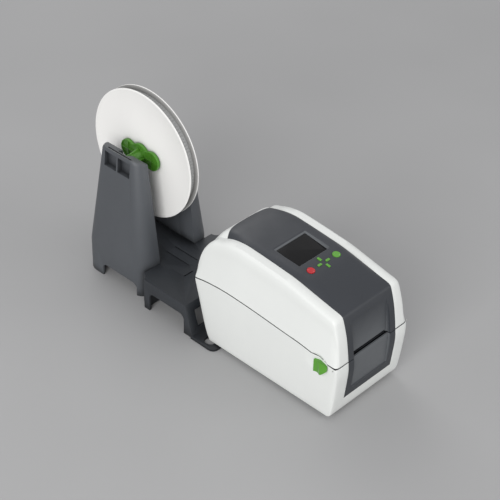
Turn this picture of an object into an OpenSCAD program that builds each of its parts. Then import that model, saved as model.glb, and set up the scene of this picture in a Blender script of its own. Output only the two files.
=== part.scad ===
/* [Overall] */
// Distance from the printer's rear to the reel's axle
reel_gap = 140; // [136:1:180]
// Height of the reel's axle above the table
axle_h = 161.7; // [158:0.1:180]

/* [Printer case] */
// Width of the case at its widest
case_w = 118; // [116:1:130]
// Length of the case
case_l = 214; // [210:1:240]
// Height of the case's top above the table
case_top = 155; // [150:1:170]
// Height of the case's underside above the table
case_low = 5; // [4:0.1:8]
// Wall of the case shells
wall = 3; // [2.8:0.1:3.4]
// Radius of the case's upright corners
corner_r = 3.2; // [2:0.2:5]
// Height of the parting line at the front
part_h = 78; // [74:1:84]
// Rise of the parting line behind the front
part_rise = 13; // [8:1:16]
// Gap between the cover and the lower case
part_gap = 0.7; // [0.4:0.1:1]
// Distance from the sides to the dark panels in the cover and the front
panel_gap = 20; // [17:1:22]
// Thickness of the dark panels
panel_t = 2.4; // [2.2:0.1:2.5]
// Distance from the rear to the control panel
panel_end = 21; // [17:1:28]
// How far the control panel's rear edge bows back
panel_bow = 11; // [6:1:13]
// Height of the front panel's lower edge
front_low = 26; // [20:1:30]
// Gap round the panels
fit = 0.2; // [0.1:0.05:0.3]

/* [Console] */
// Width of the display window
display_w = 46; // [40:1:50]
// Length of the display window
display_l = 33.5; // [28:0.5:36]
// Distance from the front to the middle of the display
display_back = 107; // [100:1:112]
// Slope of the console towards the front
console_tilt = 7; // [5:0.5:9]
// Diameter of a round key
key_d = 9.6; // [7:0.1:11]
// Distance between the two round keys
key_spread = 41; // [34:1:50]
// Distance from the front to the row of keys
key_back = 75.5; // [72:0.5:80]
// Length of an arrow key
arrow_l = 5.4; // [4:0.1:6]
// Width of an arrow key
arrow_w = 2.7; // [2:0.1:3.2]
// Distance from an arrow key's middle to the cross's middle
arrow_out = 6.4; // [5.5:0.1:8]
// Height of a key above the console
key_up = 0.6; // [0.2:0.1:1]

/* [Label exit] */
// Distance from the panel's edge to the label exit
exit_gap = 10.5; // [9.5:0.5:14]
// Height of the label exit
exit_h = 2.6; // [2:0.1:4]
// Distance from the panel's edge to the recesses
recess_gap = 9; // [6:0.5:9]
// Height of the lower edge of that recess
recess_low = 36.5; // [32:0.5:45]
// Depth of that recess
recess_t = 2.4; // [1:0.1:3]

/* [Print works] */
// Diameter of the platen roller
platen_d = 15; // [12:0.5:16]
// Distance from the inner frame to the platen roller
platen_gap = 5.5; // [4.5:0.5:8]
// Diameter of the platen's shaft
shaft_d = 6; // [5:0.5:7]
// Distance from the front to the platen's axis
platen_back = 20; // [18:0.5:23]
// Height of the platen's axis
platen_h = 71; // [69:0.5:72]
// Gear module
gear_m = 1; // [0.9:0.02:1.04]
// Face width of the gears
gear_t = 4; // [3:0.5:5]
// Diameter of the stepper motor
motor_d = 35; // [30:1:36]
// Length of the stepper motor
motor_l = 22; // [18:1:26]
// Diameter of the ribbon supply roll
supply_d = 35; // [28:1:37]
// Diameter of the ribbon take-up roll
takeup_d = 22; // [18:1:26]

/* [Hinge and latches] */
// Diameter of the hinge pin
hinge_d = 4; // [3:0.5:5]
// Outer diameter of a hinge knuckle
knuckle_d = 8; // [7:0.5:9]
// Radius of the finger dimple round a latch
dimple_r = 14; // [12:0.5:16]
// Distance from the front to the latch pivots
latch_back = 26; // [25:0.5:28]
// Height of the latch pivots
latch_h = 73.5; // [72:0.5:74]

/* [Reel] */
// Diameter of the reel's flanges
reel_d = 162.7; // [140:1:180]
// Width of the reel over its flanges
reel_w = 13.5; // [11:0.5:18]
// Thickness of a flange
flange_t = 1.5; // [1:0.1:2]
// Diameter of the wound strip
wound_d = 153; // [120:1:156]
// Diameter of the reel's centre hole
reel_bore = 26; // [25:0.5:30]
// Diameter of the axle
axle_d = 10; // [8:0.5:11]

/* [Roll holder] */
// Distance between the inner faces of the towers
tower_gap = 57; // [54:1:64]
// Height of the towers
tower_h = 179; // [178.5:0.5:190]
// Width of the holder over its towers at the foot
tower_out = 112.6; // [108:0.5:118]
// Width over the towers at the top
tower_top_out = 89; // [84:1:94]
// Depth of a tower at the deck
tower_foot_l = 104; // [98:1:108]
// Depth of a tower at its top
tower_top_l = 64; // [56:1:70]
// Wall of the towers and the base
holder_wall = 2.8; // [2.2:0.1:3.4]
// Height of the deck
deck_h = 41.5; // [38:0.5:46]
// Width of the deck in front of the towers
deck_w = 127.6; // [124:0.5:134]
// Width of the plate under the printer
plate_w = 131; // [128:0.5:136]
// Thickness of that plate
plate_t = 3.2; // [2.5:0.1:4]
// Diameter of the holes in its corners
bench_hole_d = 15; // [10:0.5:16]
// Distance between those two holes
bench_hole_gap = 107; // [104:0.5:108]

/* [Hidden] */

white = [0.87, 0.88, 0.87];
dark = [0.26, 0.28, 0.31];
mid_grey = [0.36, 0.38, 0.41];
black = [0.08, 0.08, 0.09];
green = [0.31, 0.60, 0.20];
red = [0.72, 0.13, 0.18];
steel = [0.70, 0.71, 0.73];
board_green = [0.10, 0.35, 0.20];

$fn = 48;
over = 1;
running = 0.05;
near = 0.3;

reel_r = reel_d / 2;
axle_back = case_l + reel_gap;
panel_back = case_l - panel_end;
y_front = -(axle_back + reel_r) / 2;
y_axle = y_front + axle_back;
half_w = case_w / 2;
panel_x = half_w - panel_gap;
ramp_x = panel_x - recess_gap;
exit_x = panel_x - exit_gap;
tower_x = tower_gap / 2;
cheek_gap = 21.5;
cheek_x = half_w - cheek_gap;

function yb(b) = y_front + b;
function polar(r, a) = [r * cos(a), r * sin(a)];

module block(lo, hi) translate(lo) cube(hi - lo);

// A block given by its half width and its ends along the printer and upwards
module span(x, b0, b1, z0, z1) block([-x, yb(b0), z0], [x, yb(b1), z1]);

// A block on one side only
module slab(x0, x1, b0, b1, z0, z1) block([x0, yb(b0), z0], [x1, yb(b1), z1]);

// A rod across the printer
module rod(r, x0, x1, b, z) translate([x0, yb(b), z]) rotate([0, 90, 0]) cylinder(r = r, h = x1 - x0);

// An outline seen from the right side, carried from x0 to x1
module across(x0, x1) translate([x0, 0, 0]) rotate([90, 0, 90]) linear_extrude(x1 - x0) children();

module both() {
    children();
    mirror([1, 0, 0]) children();
}

// Case form: outline of the side as shares of the length and the height, front first
side_shares = [[0.055, 0], [0.036, 0.02], [0.018, 0.14], [0.0055, 0.3], [0, 0.41], [0.0065, 0.513],
    [0.028, 0.70], [0.0555, 0.83], [0.0612, 0.8475], [0.0726, 0.8587], [0.14, 0.879], [0.229, 0.905],
    [0.38, 0.948], [0.455, 0.959], [0.645, 0.981], [0.72, 0.985], [0.80, 0.968], [0.86, 0.937],
    [0.903, 0.912], [0.955, 0.825], [0.99, 0.69], [1, 0.533], [0.972, 0.34], [0.918, 0.06], [0.897, 0]];
// Middle line of the roof, and the share of its crown that is left towards the dark panel's edges
top_shares = [[0.0726, 0.8587], [0.14, 0.891], [0.229, 0.9327], [0.30, 0.9587], [0.353, 0.968],
    [0.38, 0.9727], [0.455, 0.98], [0.645, 0.9955], [0.72, 1], [0.80, 0.997], [0.85, 0.985], [0.86, 0.981],
    [0.88, 0.971], [0.905, 0.947], [0.957, 0.845], [0.992, 0.70], [1, 0.533]];
crown_shares = [[-1, 0], [-0.96, 0.27], [-0.89, 0.62], [-0.8, 0.88], [-0.68, 0.98], [-0.45, 1], [0, 1],
    [0.45, 1], [0.68, 0.98], [0.8, 0.88], [0.89, 0.62], [0.96, 0.27], [1, 0]];
// Steps out to the side: share of the half width, of the corner radius, of the height and of the depth
slab_shares = [[0.83, 0, 1, 1], [0.874, 0, 0.97, 1], [0.9, 0.02, 0.88, 1], [0.915, 0.05, 0.68, 1],
    [0.961, 0.2, 0.30, 0.96], [0.99, 0.5, 0.08, 0.6], [1, 1, 0.01, 0.02]];
inner_shares = [[0.8, 0, 1, 1], [0.886, 0, 0.935, 1], [0.961, 0.2, 0.30, 0.94], [1, 1, 0.01, 0.02]];
// Parting line between the cover and the lower case, as shares of the length and of its rise
part_shares = [[0, 0], [0.06, 0.06], [0.2, 0.38], [0.25, 0.49], [0.39, 0.65], [0.53, 0.83],
    [0.67, 0.96], [0.775, 1], [0.85, 0.94], [0.925, 0.8], [1, 0.55]];
slab_t = 0.1;
case_h = case_top - case_low;

module side_outline(inset) offset(delta = -inset)
    polygon([for (p = side_shares) [p[0] * case_l, case_low + p[1] * case_h]]);

module side_2d(inset) translate([yb(0), 0]) side_outline(inset);

module half_outline(inset, s, share, z0, z1) {
    b_scale = 1 - 2 * s[1] * corner_r / case_l;
    translate([yb(case_l / 2), part_h]) scale([b_scale, share]) translate([-case_l / 2, -part_h])
        intersection() {
            side_outline(inset);
            translate([0, z0]) square([case_l, z1 - z0]);
        }
}
module slab_outline(inset, s) {
    half_outline(inset, s, s[2], part_h, case_top);
    half_outline(inset, s, s[3], case_low, part_h);
}
module shell_2d(t) difference() {
    side_2d(0);
    side_2d(t);
}

module case_body(inset, shares) hull() for (s = shares) both()
    across(s[0] * half_w - inset - slab_t, s[0] * half_w - inset) slab_outline(inset, s);

// The same form from x0 outwards on the right side only
module side_body(inset, shares, x0) hull() {
    across(x0, x0 + slab_t) side_2d(inset);
    for (s = shares) across(s[0] * half_w - inset - slab_t, s[0] * half_w - inset) slab_outline(inset, s);
}

module case_shell(t) difference() {
    case_body(0, slab_shares);
    case_body(t, inner_shares);
}

module side_poly(pts) polygon([for (p = pts) [yb(p[0]), p[1]]]);
part_end_h = part_h + part_shares[10][1] * part_rise;
function part_at(b) = part_h + lookup(b / case_l, part_shares) * part_rise;
function part_line(shift) = concat([[-corner_r, part_h + shift]],
    [for (s = part_shares) [s[0] * case_l, part_h + s[1] * part_rise + shift]],
    [[case_l + corner_r, part_end_h + shift]]);
module above_2d(shift) side_poly(concat(part_line(shift),
    [[case_l + corner_r, case_top + over], [-corner_r, case_top + over]]));
module below_2d(shift) side_poly(concat(part_line(shift), [[case_l + corner_r, 0], [-corner_r, 0]]));
module above_parting(shift) across(-case_w, case_w) above_2d(shift);
module below_parting(shift) across(-case_w, case_w) below_2d(shift);
function top_at(b) = case_low + case_h * lookup(b / case_l, top_shares);

// Crowned roof between the white sides, as a body down to the parting line
side_top_shares = [for (i = [9:21]) side_shares[i]];
function roof_share(s, c) = lookup(s[0], side_top_shares)
    + (s[1] - lookup(s[0], side_top_shares)) * c[1];
module roof_body(x_end) {
    n = len(crown_shares);
    m = len(top_shares);
    low = n * m;
    roof = [for (s = top_shares, c = crown_shares)
        [c[0] * x_end, yb(s[0] * case_l), case_low + case_h * roof_share(s, c)]];
    foot = [for (p = roof) [p[0], p[1], part_h]];
    cells = [for (j = [0:m - 2], i = [0:n - 2])
        [j * n + i, (j + 1) * n + i, (j + 1) * n + i + 1, j * n + i + 1]];
    rows = [for (j = [0:m - 2]) j * n];
    last = (m - 1) * n;
    polyhedron(concat(roof, foot), concat(
        [for (q = cells) [q[0], q[1], q[2]]], [for (q = cells) [q[0], q[2], q[3]]],
        [for (q = cells) [low + q[3], low + q[2], low + q[1], low + q[0]]],
        [for (i = [0:n - 2]) [i, i + 1, low + i + 1, low + i]],
        [for (i = [0:n - 2]) [last + i + 1, last + i, low + last + i, low + last + i + 1]],
        [for (k = rows) [k + n, k, low + k, low + k + n]],
        [for (k = rows) [k + n - 1, k + n + n - 1, low + k + n + n - 1, low + k + n - 1]]));
}
// The roof's skin, of the thickness t, from the depth d down
module roof_skin(x_end, d, t) difference() {
    translate([0, -d / 2, -d]) roof_body(x_end);
    translate([0, -(d + t) / 2, -d - t]) roof_body(x_end + slab_t);
}
// Plan of the control panel, with its bowed rear edge
panel_arc_r = (pow(panel_x, 2) + pow(panel_bow, 2)) / (2 * panel_bow);
module panel_zone(grow) linear_extrude(case_top + over) {
    translate([0, yb(panel_back - panel_arc_r)]) circle(r = panel_arc_r + grow, $fn = 96);
    translate([-case_w, yb(-corner_r)]) square([case_w * 2, corner_r + panel_back - panel_arc_r]);
}

// Hinge at the rear
knuckle_r = knuckle_d / 2;
hinge_back = case_l + knuckle_d * 0.2;
hinge_h = part_end_h - part_gap / 2;
knuckle_x = 20;
knuckle_end = 34;
knuckle_gap = 0.5;

// Finger dimple and the latch in it
dimple_t = 4;
dimple_ball_r = (pow(dimple_r, 2) + pow(dimple_t, 2)) / (2 * dimple_t);
latch_pad_t = dimple_t + wall;
latch_bore_r = 3.5;
latch_gap = 0.4;
module dimple_ball(grow) translate([half_w - dimple_t + dimple_ball_r, yb(latch_back), latch_h])
    rotate([0, -90, 0]) sphere(r = dimple_ball_r - grow, $fn = 64);
module dimple_pad(t) intersection() {
    case_body(0, slab_shares);
    rod(dimple_r + wall, half_w - t, half_w, latch_back, latch_h);
}

// Lower case
floor_h = case_low + wall;
board_lift = 5.8;
board_h = floor_h + board_lift;
board_t = 1.6;
rear_open_gap = 15;
rear_open_x = half_w - rear_open_gap;
rear_open_low = 13;
rear_open_top = 66;
rear_open_b = case_l * 0.9;
boss_r = 4;
boss_hole_r = 1.25;
boss_gap = 28;
boss_x = half_w - boss_gap;
boss_front = case_l * 0.33;
boss_rear = case_l * 0.84;
vent_n = 6;
vent_w = 2.4;
vent_l = 26;
vent_step = 7;
vent_b = case_l * 0.45;

module boss_places() for (x = [-boss_x, boss_x], b = [boss_front, boss_rear])
    translate([x, yb(b), 0]) children();

module lower_case() color(white) {
    difference() {
        union() {
            intersection() {
                case_shell(wall);
                below_parting(0);
            }
            intersection() {
                both() dimple_pad(latch_pad_t);
                below_parting(0);
            }
        }
        span(panel_x, -over, platen_back, front_low, case_top);
        span(rear_open_x, rear_open_b - over, case_l + over, rear_open_low, rear_open_top);
        both() dimple_ball(0);
        both() rod(latch_bore_r, half_w - latch_pad_t - over, half_w + over, latch_back, latch_h);
        rod(knuckle_r + knuckle_gap, -knuckle_x, knuckle_x, hinge_back, hinge_h);
        rod(hinge_d / 2 + running, -knuckle_end - over, knuckle_end + over, hinge_back, hinge_h);
        for (i = [0:vent_n - 1]) translate([(i - (vent_n - 1) / 2) * vent_step, 0, 0])
            span(vent_w / 2, vent_b - vent_l / 2, vent_b + vent_l / 2, 0, floor_h + over);
    }
    difference() {
        boss_places() translate([0, 0, floor_h - wall / 2])
            cylinder(r = boss_r, h = board_h - floor_h + wall / 2);
        boss_places() translate([0, 0, floor_h]) cylinder(r = boss_hole_r, h = board_h);
    }
    both() difference() {
        union() {
            rod(knuckle_r, knuckle_x + knuckle_gap, knuckle_end, hinge_back, hinge_h);
            slab(knuckle_x + knuckle_gap, knuckle_end, case_l - wall * 0.6, hinge_back,
                hinge_h - knuckle_d, hinge_h);
        }
        rod(hinge_d / 2 + running, knuckle_x, knuckle_end + over, hinge_back, hinge_h);
    }
}

// Dark panel at the front of the lower case, recessed below the label exit
front_t = 4.6;
module front_panel() color(dark) difference() {
    across(-panel_x + fit, panel_x - fit) intersection() {
        shell_2d(front_t);
        below_2d(0);
        side_poly([[-over, front_low + fit], [platen_back, front_low + fit], [platen_back, case_top],
            [-over, case_top]]);
    }
    span(ramp_x, -over, recess_t, recess_low, case_top);
}

// Rear panel with the sockets
inlet_gap = 16;
inlet_x = inlet_gap - rear_open_x;
inlet_r = 5.4;
inlet_pin_r = 1;
inlet_hole_r = 3.2;
socket_l = 13;
socket_wall = 1;
socket_low = board_h + board_t + running;
socket_b = case_l * 0.935;
usb_x = -10;
usb_w = 12;
usb_h = 10.8;
lan_x = 14;
lan_w = 16;
lan_h = 13.4;
switch_gap = 17;
switch_x = switch_gap - rear_open_x;
switch_z = 40;
switch_w = 19;
switch_r = 7.2;
switch_b = case_l * 0.944;
switch_face = 2.7;
switch_tip = 14;
entry_gap = 13;
entry_w = 2 * (rear_open_x - entry_gap);
entry_low = 58;
entry_h = 5;

// A square hole through the rear panel
module rear_hole(x, w, z0, z1) slab(x - w / 2 - fit, x + w / 2 + fit, rear_open_b - over,
    case_l + over, z0 - fit, z1 + fit);

// A cylinder along the printer's length
module rod_y(r, x, z, b0, b1) translate([x, yb(b0), z]) rotate([-90, 0, 0])
    cylinder(r = r, h = b1 - b0);

module rear_panel() color(dark) difference() {
    across(-rear_open_x + fit, rear_open_x - fit) intersection() {
        shell_2d(panel_t);
        side_poly([[rear_open_b, rear_open_low + fit], [case_l + over, rear_open_low + fit],
            [case_l + over, rear_open_top - fit], [rear_open_b, rear_open_top - fit]]);
    }
    rod_y(inlet_r + fit, inlet_x, socket_low + inlet_r, rear_open_b - over, case_l + over);
    rear_hole(usb_x, usb_w, socket_low, socket_low + usb_h);
    rear_hole(lan_x, lan_w, socket_low, socket_low + lan_h);
    rear_hole(switch_x, switch_w, switch_z - switch_r, switch_z + switch_r);
    rear_hole(0, entry_w, entry_low, entry_low + entry_h);
}

module power_inlet() color(black) difference() {
    rod_y(inlet_r, inlet_x, socket_low + inlet_r, socket_b - socket_l, socket_b);
    difference() {
        rod_y(inlet_hole_r, inlet_x, socket_low + inlet_r, socket_b - socket_l * 0.7, socket_b + over);
        rod_y(inlet_pin_r, inlet_x, socket_low + inlet_r, socket_b - socket_l, socket_b - socket_wall);
    }
}

module socket(x, w, h) difference() {
    slab(x - w / 2, x + w / 2, socket_b - socket_l, socket_b, socket_low, socket_low + h);
    slab(x - w / 2 + socket_wall, x + w / 2 - socket_wall, socket_b - socket_l * 0.7, socket_b + over,
        socket_low + socket_wall, socket_low + h - socket_wall);
}
module usb_port() color(steel) {
    socket(usb_x, usb_w, usb_h);
    slab(usb_x - usb_w / 4, usb_x + usb_w / 4, socket_b - socket_l, socket_b - socket_wall,
        socket_low + usb_h * 0.35, socket_low + usb_h * 0.65);
}
module network_port() color(steel) socket(lan_x, lan_w, lan_h);

// Rocker of the power switch, lower half pressed in
module power_switch() color(black) translate([switch_x, yb(switch_b), switch_z]) difference() {
    rotate([0, 90, 0]) cylinder(r = switch_r, h = switch_w, center = true);
    block([-switch_w, switch_face, -switch_w], [switch_w, switch_w, 0]);
    rotate([-switch_tip, 0, 0]) block([-switch_w, switch_face, -running], [switch_w, switch_w, switch_w]);
}

foot_d = 13;
foot_gap = 25;
foot_x = half_w - foot_gap;
foot_front = 24;
foot_rear = case_l * 0.87;
module rubber_feet() color(black) for (x = [-foot_x, foot_x]) {
    translate([x, yb(foot_front), 0]) cylinder(r = foot_d / 2, h = case_low);
    translate([x, yb(foot_rear), plate_t]) cylinder(r = foot_d / 2, h = case_low - plate_t);
}

board_gap = 2;
board_x = half_w - cheek_gap - board_gap;
board_b0 = case_l * 0.29;
board_b1 = case_l * 0.9;
chip_h = 2;
chip_w = 14;
chip_shares = [[0.1, 0.35, 1], [-0.3, 0.5, 0.64], [0.35, 0.6, 0.5]];
cap_r = 4;
cap_h = 11;
module main_board() {
    color(board_green) difference() {
        span(board_x, board_b0, board_b1, board_h, board_h + board_t);
        boss_places() cylinder(r = boss_hole_r + fit, h = board_h + board_t + over);
    }
    color(black) for (s = chip_shares)
        translate([s[0] * board_x, yb(board_b0 + s[1] * (board_b1 - board_b0)), board_h + board_t])
            translate([-chip_w * s[2] / 2, 0, 0]) cube([chip_w * s[2], chip_w * s[2], chip_h]);
    color(steel) for (x = [-0.3, 0])
        translate([x * board_x, yb(board_b0 + cap_r * 2), board_h + board_t]) cylinder(r = cap_r, h = cap_h);
}

screw_head_r = 2.6;
screw_head_h = 1.8;
screw_l = 6;
module case_screws() color(steel) boss_places() translate([0, 0, board_h + board_t]) {
    cylinder(r = screw_head_r, h = screw_head_h);
    translate([0, 0, -screw_l]) cylinder(r = boss_hole_r - running, h = screw_l);
}

// Inner frame: two cheeks and the tray between them
cheek_t = 2.5;
cheek_b0 = 8.6;
cheek_end = 17;
cheek_b1 = case_l - cheek_end;
cheek_low = 2;
tray_t = 2.4;
tray_h = 30;
tray_b0 = 33;
tray_b1 = 64;
tray_b2 = 77;
tray_end = 30;
tray_lip = 22.5;
tray_b3 = case_l - tray_end;
tray_b4 = case_l - tray_lip;
tray_front_h = 66;
tray_mid_h = 64;
tray_rear_h = 55;
bush_r = 5;
bush_flange_r = 6.2;
bush_t = 0.8;
idler_pin_r = 2.5;
motor_boss_r = 4;
motor_shaft_r = 1.5;

// Gear train on the right cheek
platen_n = 24;
idler_n = 20;
pinion_n = 14;
gear_gap = 5.5;
gear_x = cheek_x + gear_gap;
idler_dir = -53.8;
pinion_dir = -49.7;
gear_slack = near / 2;
radius_shares = [-1.25, -0.4, 0.3, 0.9];
press_a = 20;
platen_c = [platen_back, platen_h];
idler_c = platen_c + polar(gear_m * (platen_n + idler_n) / 2, idler_dir);
pinion_c = idler_c + polar(gear_m * (idler_n + pinion_n) / 2, pinion_dir);
// Phase of a gear that meshes with another one seen in the given direction
function mesh_phase(na, phase, nb, dir) = dir + 180 - 360 / nb * (0.5 - (dir - phase) * na / 360);
idler_phase = mesh_phase(platen_n, 0, idler_n, idler_dir);
pinion_phase = mesh_phase(idler_n, idler_phase, pinion_n, pinion_dir);
function inv(a) = tan(a) - a * PI / 180;
function tooth_half(n, r) = 90 / n + (inv(press_a) - inv(acos(min(1, gear_m * n / 2 * cos(press_a) / r))))
    * 180 / PI - gear_slack / (gear_m * n / 2) * 180 / PI;
function gear_radius(n, i) = gear_m * (n / 2 + radius_shares[i]);
function tooth(n, a) = concat(
    [for (i = [0:3]) polar(gear_radius(n, i), a - tooth_half(n, gear_radius(n, i)))],
    [for (i = [3:-1:0]) polar(gear_radius(n, i), a + tooth_half(n, gear_radius(n, i)))]);
module gear(n, c, phase, bore) difference() {
    across(gear_x, gear_x + gear_t) translate([yb(c[0]), c[1]]) rotate(phase)
        polygon([for (k = [0:n - 1]) each tooth(n, k * 360 / n)]);
    rod(bore, gear_x - over, gear_x + gear_t + over, c[0], c[1]);
}

// A bent strip seen from the side, given by its upper points
module strip(pts, t) for (i = [0:len(pts) - 2]) side_poly([
    [pts[i][0], pts[i][1]], [pts[i + 1][0], pts[i + 1][1]],
    [pts[i + 1][0], pts[i + 1][1] - t], [pts[i][0], pts[i][1] - t]]);

sensor_x = 6;
sensor_b0 = 44;
sensor_b1 = 54;
sensor_h = 5;
module media_frame() color(mid_grey) difference() {
    union() {
        both() across(cheek_x, cheek_x + cheek_t) intersection() {
            side_2d(wall + near);
            below_2d(-cheek_low);
            side_poly([[cheek_b0, floor_h + running], [cheek_b1, floor_h + running],
                [cheek_b1, case_top], [cheek_b0, case_top]]);
        }
        across(-cheek_x - over / 2, cheek_x + over / 2) strip([[tray_b0, tray_front_h],
            [tray_b1, tray_mid_h], [tray_b2, tray_h], [tray_b3, tray_h], [tray_b4, tray_rear_h]], tray_t);
        rod(idler_pin_r, cheek_x, gear_x + gear_t + over, idler_c[0], idler_c[1]);
    }
    both() rod(bush_r + running, cheek_x - over, cheek_x + cheek_t + over, platen_back, platen_h);
    rod(motor_boss_r + running, cheek_x - over, cheek_x + cheek_t + over, pinion_c[0], pinion_c[1]);
    span(sensor_x + fit, sensor_b0 - fit, sensor_b1 + fit, tray_h * 1.5, case_h);
}

module platen_bushes() color(black) both() difference() {
    union() {
        rod(bush_r, cheek_x - bush_t, cheek_x + cheek_t + bush_t, platen_back, platen_h);
        rod(bush_flange_r, cheek_x - bush_t - running, cheek_x - running, platen_back, platen_h);
    }
    rod(shaft_d / 2 + running, cheek_x - over * 2, cheek_x + cheek_t + over * 2, platen_back, platen_h);
}

module stepper_motor() color(steel) difference() {
    union() {
        rod(motor_d / 2, cheek_x - motor_l, cheek_x - running, pinion_c[0], pinion_c[1]);
        rod(motor_boss_r, cheek_x - over, cheek_x + cheek_t, pinion_c[0], pinion_c[1]);
    }
    rod(motor_shaft_r + running, cheek_x - motor_l * 0.8, cheek_x + cheek_t + over,
        pinion_c[0], pinion_c[1]);
}

// Toothed tear bar in the label exit
tear_n = 28;
tear_h = 1.6;
tear_b = 7.2;
tear_t = 1.6;
tear_low = 70;
module tear_bar() color(steel) translate([0, yb(tear_b + tear_t), 0]) rotate([90, 0, 0])
    linear_extrude(tear_t) polygon(concat(
        [[cheek_x - running, part_h - running * 4], [cheek_x - running, tear_low],
            [-cheek_x + running, tear_low], [-cheek_x + running, part_h - running * 4]],
        [for (i = [0:tear_n * 2]) [(i / tear_n - 1) * (exit_x - over),
            part_h + (i % 2) * tear_h]]));

module label_sensor() color(black)
    span(sensor_x, sensor_b0, sensor_b1, tray_mid_h - sensor_h, tray_mid_h + near);

module hinge_pin() color(steel)
    rod(hinge_d / 2, -knuckle_end, knuckle_end, hinge_back, hinge_h);

module platen_roller() color(black) difference() {
    rod(platen_d / 2, -cheek_x + platen_gap, cheek_x - platen_gap, platen_back, platen_h);
    rod(shaft_d / 2 + running, -cheek_x, cheek_x, platen_back, platen_h);
}
module platen_shaft() color(steel)
    rod(shaft_d / 2, -cheek_x - cheek_t * 2, gear_x + gear_t + over, platen_back, platen_h);
module platen_gear() color(white) gear(platen_n, platen_c, 0, shaft_d / 2 + running);
module idler_gear() color(white) gear(idler_n, idler_c, idler_phase, idler_pin_r + running);
module motor_pinion() color(steel) {
    gear(pinion_n, pinion_c, pinion_phase, motor_shaft_r - running);
    rod(motor_shaft_r, cheek_x - motor_l * 0.7, gear_x + gear_t, pinion_c[0], pinion_c[1]);
}

// Label guides that slide towards and away from each other
guide_gap = 12.5;
guide_x = cheek_x - guide_gap;
guide_t = 2.5;
guide_h = 30;
guide_b0 = 96;
guide_b1 = 150;
guide_foot = 11;
module guide() color(dark) {
    across(guide_x, guide_x + guide_t) translate([yb(0), 0]) offset(r = guide_t) offset(delta = -guide_t)
        polygon([[guide_b0, tray_h + near], [guide_b1, tray_h + near], [guide_b1, tray_h + guide_h / 2],
            [guide_b1 - guide_h / 2, tray_h + guide_h], [guide_b0, tray_h + guide_h]]);
    slab(guide_x - guide_foot, guide_x + guide_t / 2, guide_b0 + guide_t, guide_b1 - guide_t,
        tray_h + near, tray_h + near + guide_t);
}
module guide_right() guide();
module guide_left() mirror([1, 0, 0]) guide();

// Release latch: grip outside, pivot through the wall, hook inside
grip_front = 13;
grip_rear = 6;
grip_up = 3.5;
grip_down = 13;
grip_out = 4.5;
grip_edge = 1;
grip_r = 2;
hook_gap = 9.8;
hook_x = half_w - hook_gap;
hook_t = 2.8;
hook_r = 5;
hook_h = 12.5;
hook_w = 5;
nose_h = 3;
catch_gap = 0.4;
module latch() color(green) {
    intersection() {
        union() {
            slab(half_w + latch_gap, half_w + grip_out * 2, 0, case_l, 0, case_top);
            dimple_ball(latch_gap);
        }
        translate([0, yb(latch_back + grip_rear), latch_h]) rotate([90, 0, 0])
            linear_extrude(grip_front + grip_rear) polygon([
                [half_w - dimple_t, grip_up], [half_w - near, grip_up],
                [half_w + grip_out, -grip_down + grip_edge], [half_w + grip_out - grip_edge, -grip_down],
                [half_w - dimple_t, -grip_down]]);
        linear_extrude(case_top) offset(r = grip_r) offset(delta = -grip_r) polygon([
            [half_w - dimple_t * 2, yb(latch_back - grip_front)],
            [half_w + grip_out, yb(latch_back - grip_front)], [half_w + grip_out, yb(latch_back - grip_rear)],
            [half_w + near, yb(latch_back + grip_rear)],
            [half_w - dimple_t * 2, yb(latch_back + grip_rear)]]);
        across(half_w - dimple_t * 2, half_w + grip_out * 2) side_poly([
            [latch_back + grip_rear, latch_h + grip_up], [latch_back + grip_rear, latch_h - grip_down],
            [latch_back - grip_rear * 0.5, latch_h - grip_down * 0.88],
            [latch_back - grip_front * 0.6, latch_h - grip_down * 0.65],
            [latch_back - grip_front, latch_h - grip_down * 0.2],
            [latch_back - grip_front, latch_h + grip_up]]);
    }
    rod(latch_bore_r - running, hook_x, half_w - dimple_t + latch_gap * 4, latch_back, latch_h);
    rod(hook_r, hook_x, hook_x + hook_t, latch_back, latch_h);
    across(hook_x, hook_x + hook_t) translate([yb(latch_back), latch_h]) polygon([
        [hook_w / 2, 0], [hook_w / 2, hook_h], [-hook_w, hook_h], [-hook_w * 1.1, hook_h - nose_h],
        [-hook_w / 2, hook_h - nose_h], [-hook_w / 2, 0]]);
}
module latch_right() latch();
module latch_left() mirror([1, 0, 0]) latch();

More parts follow.
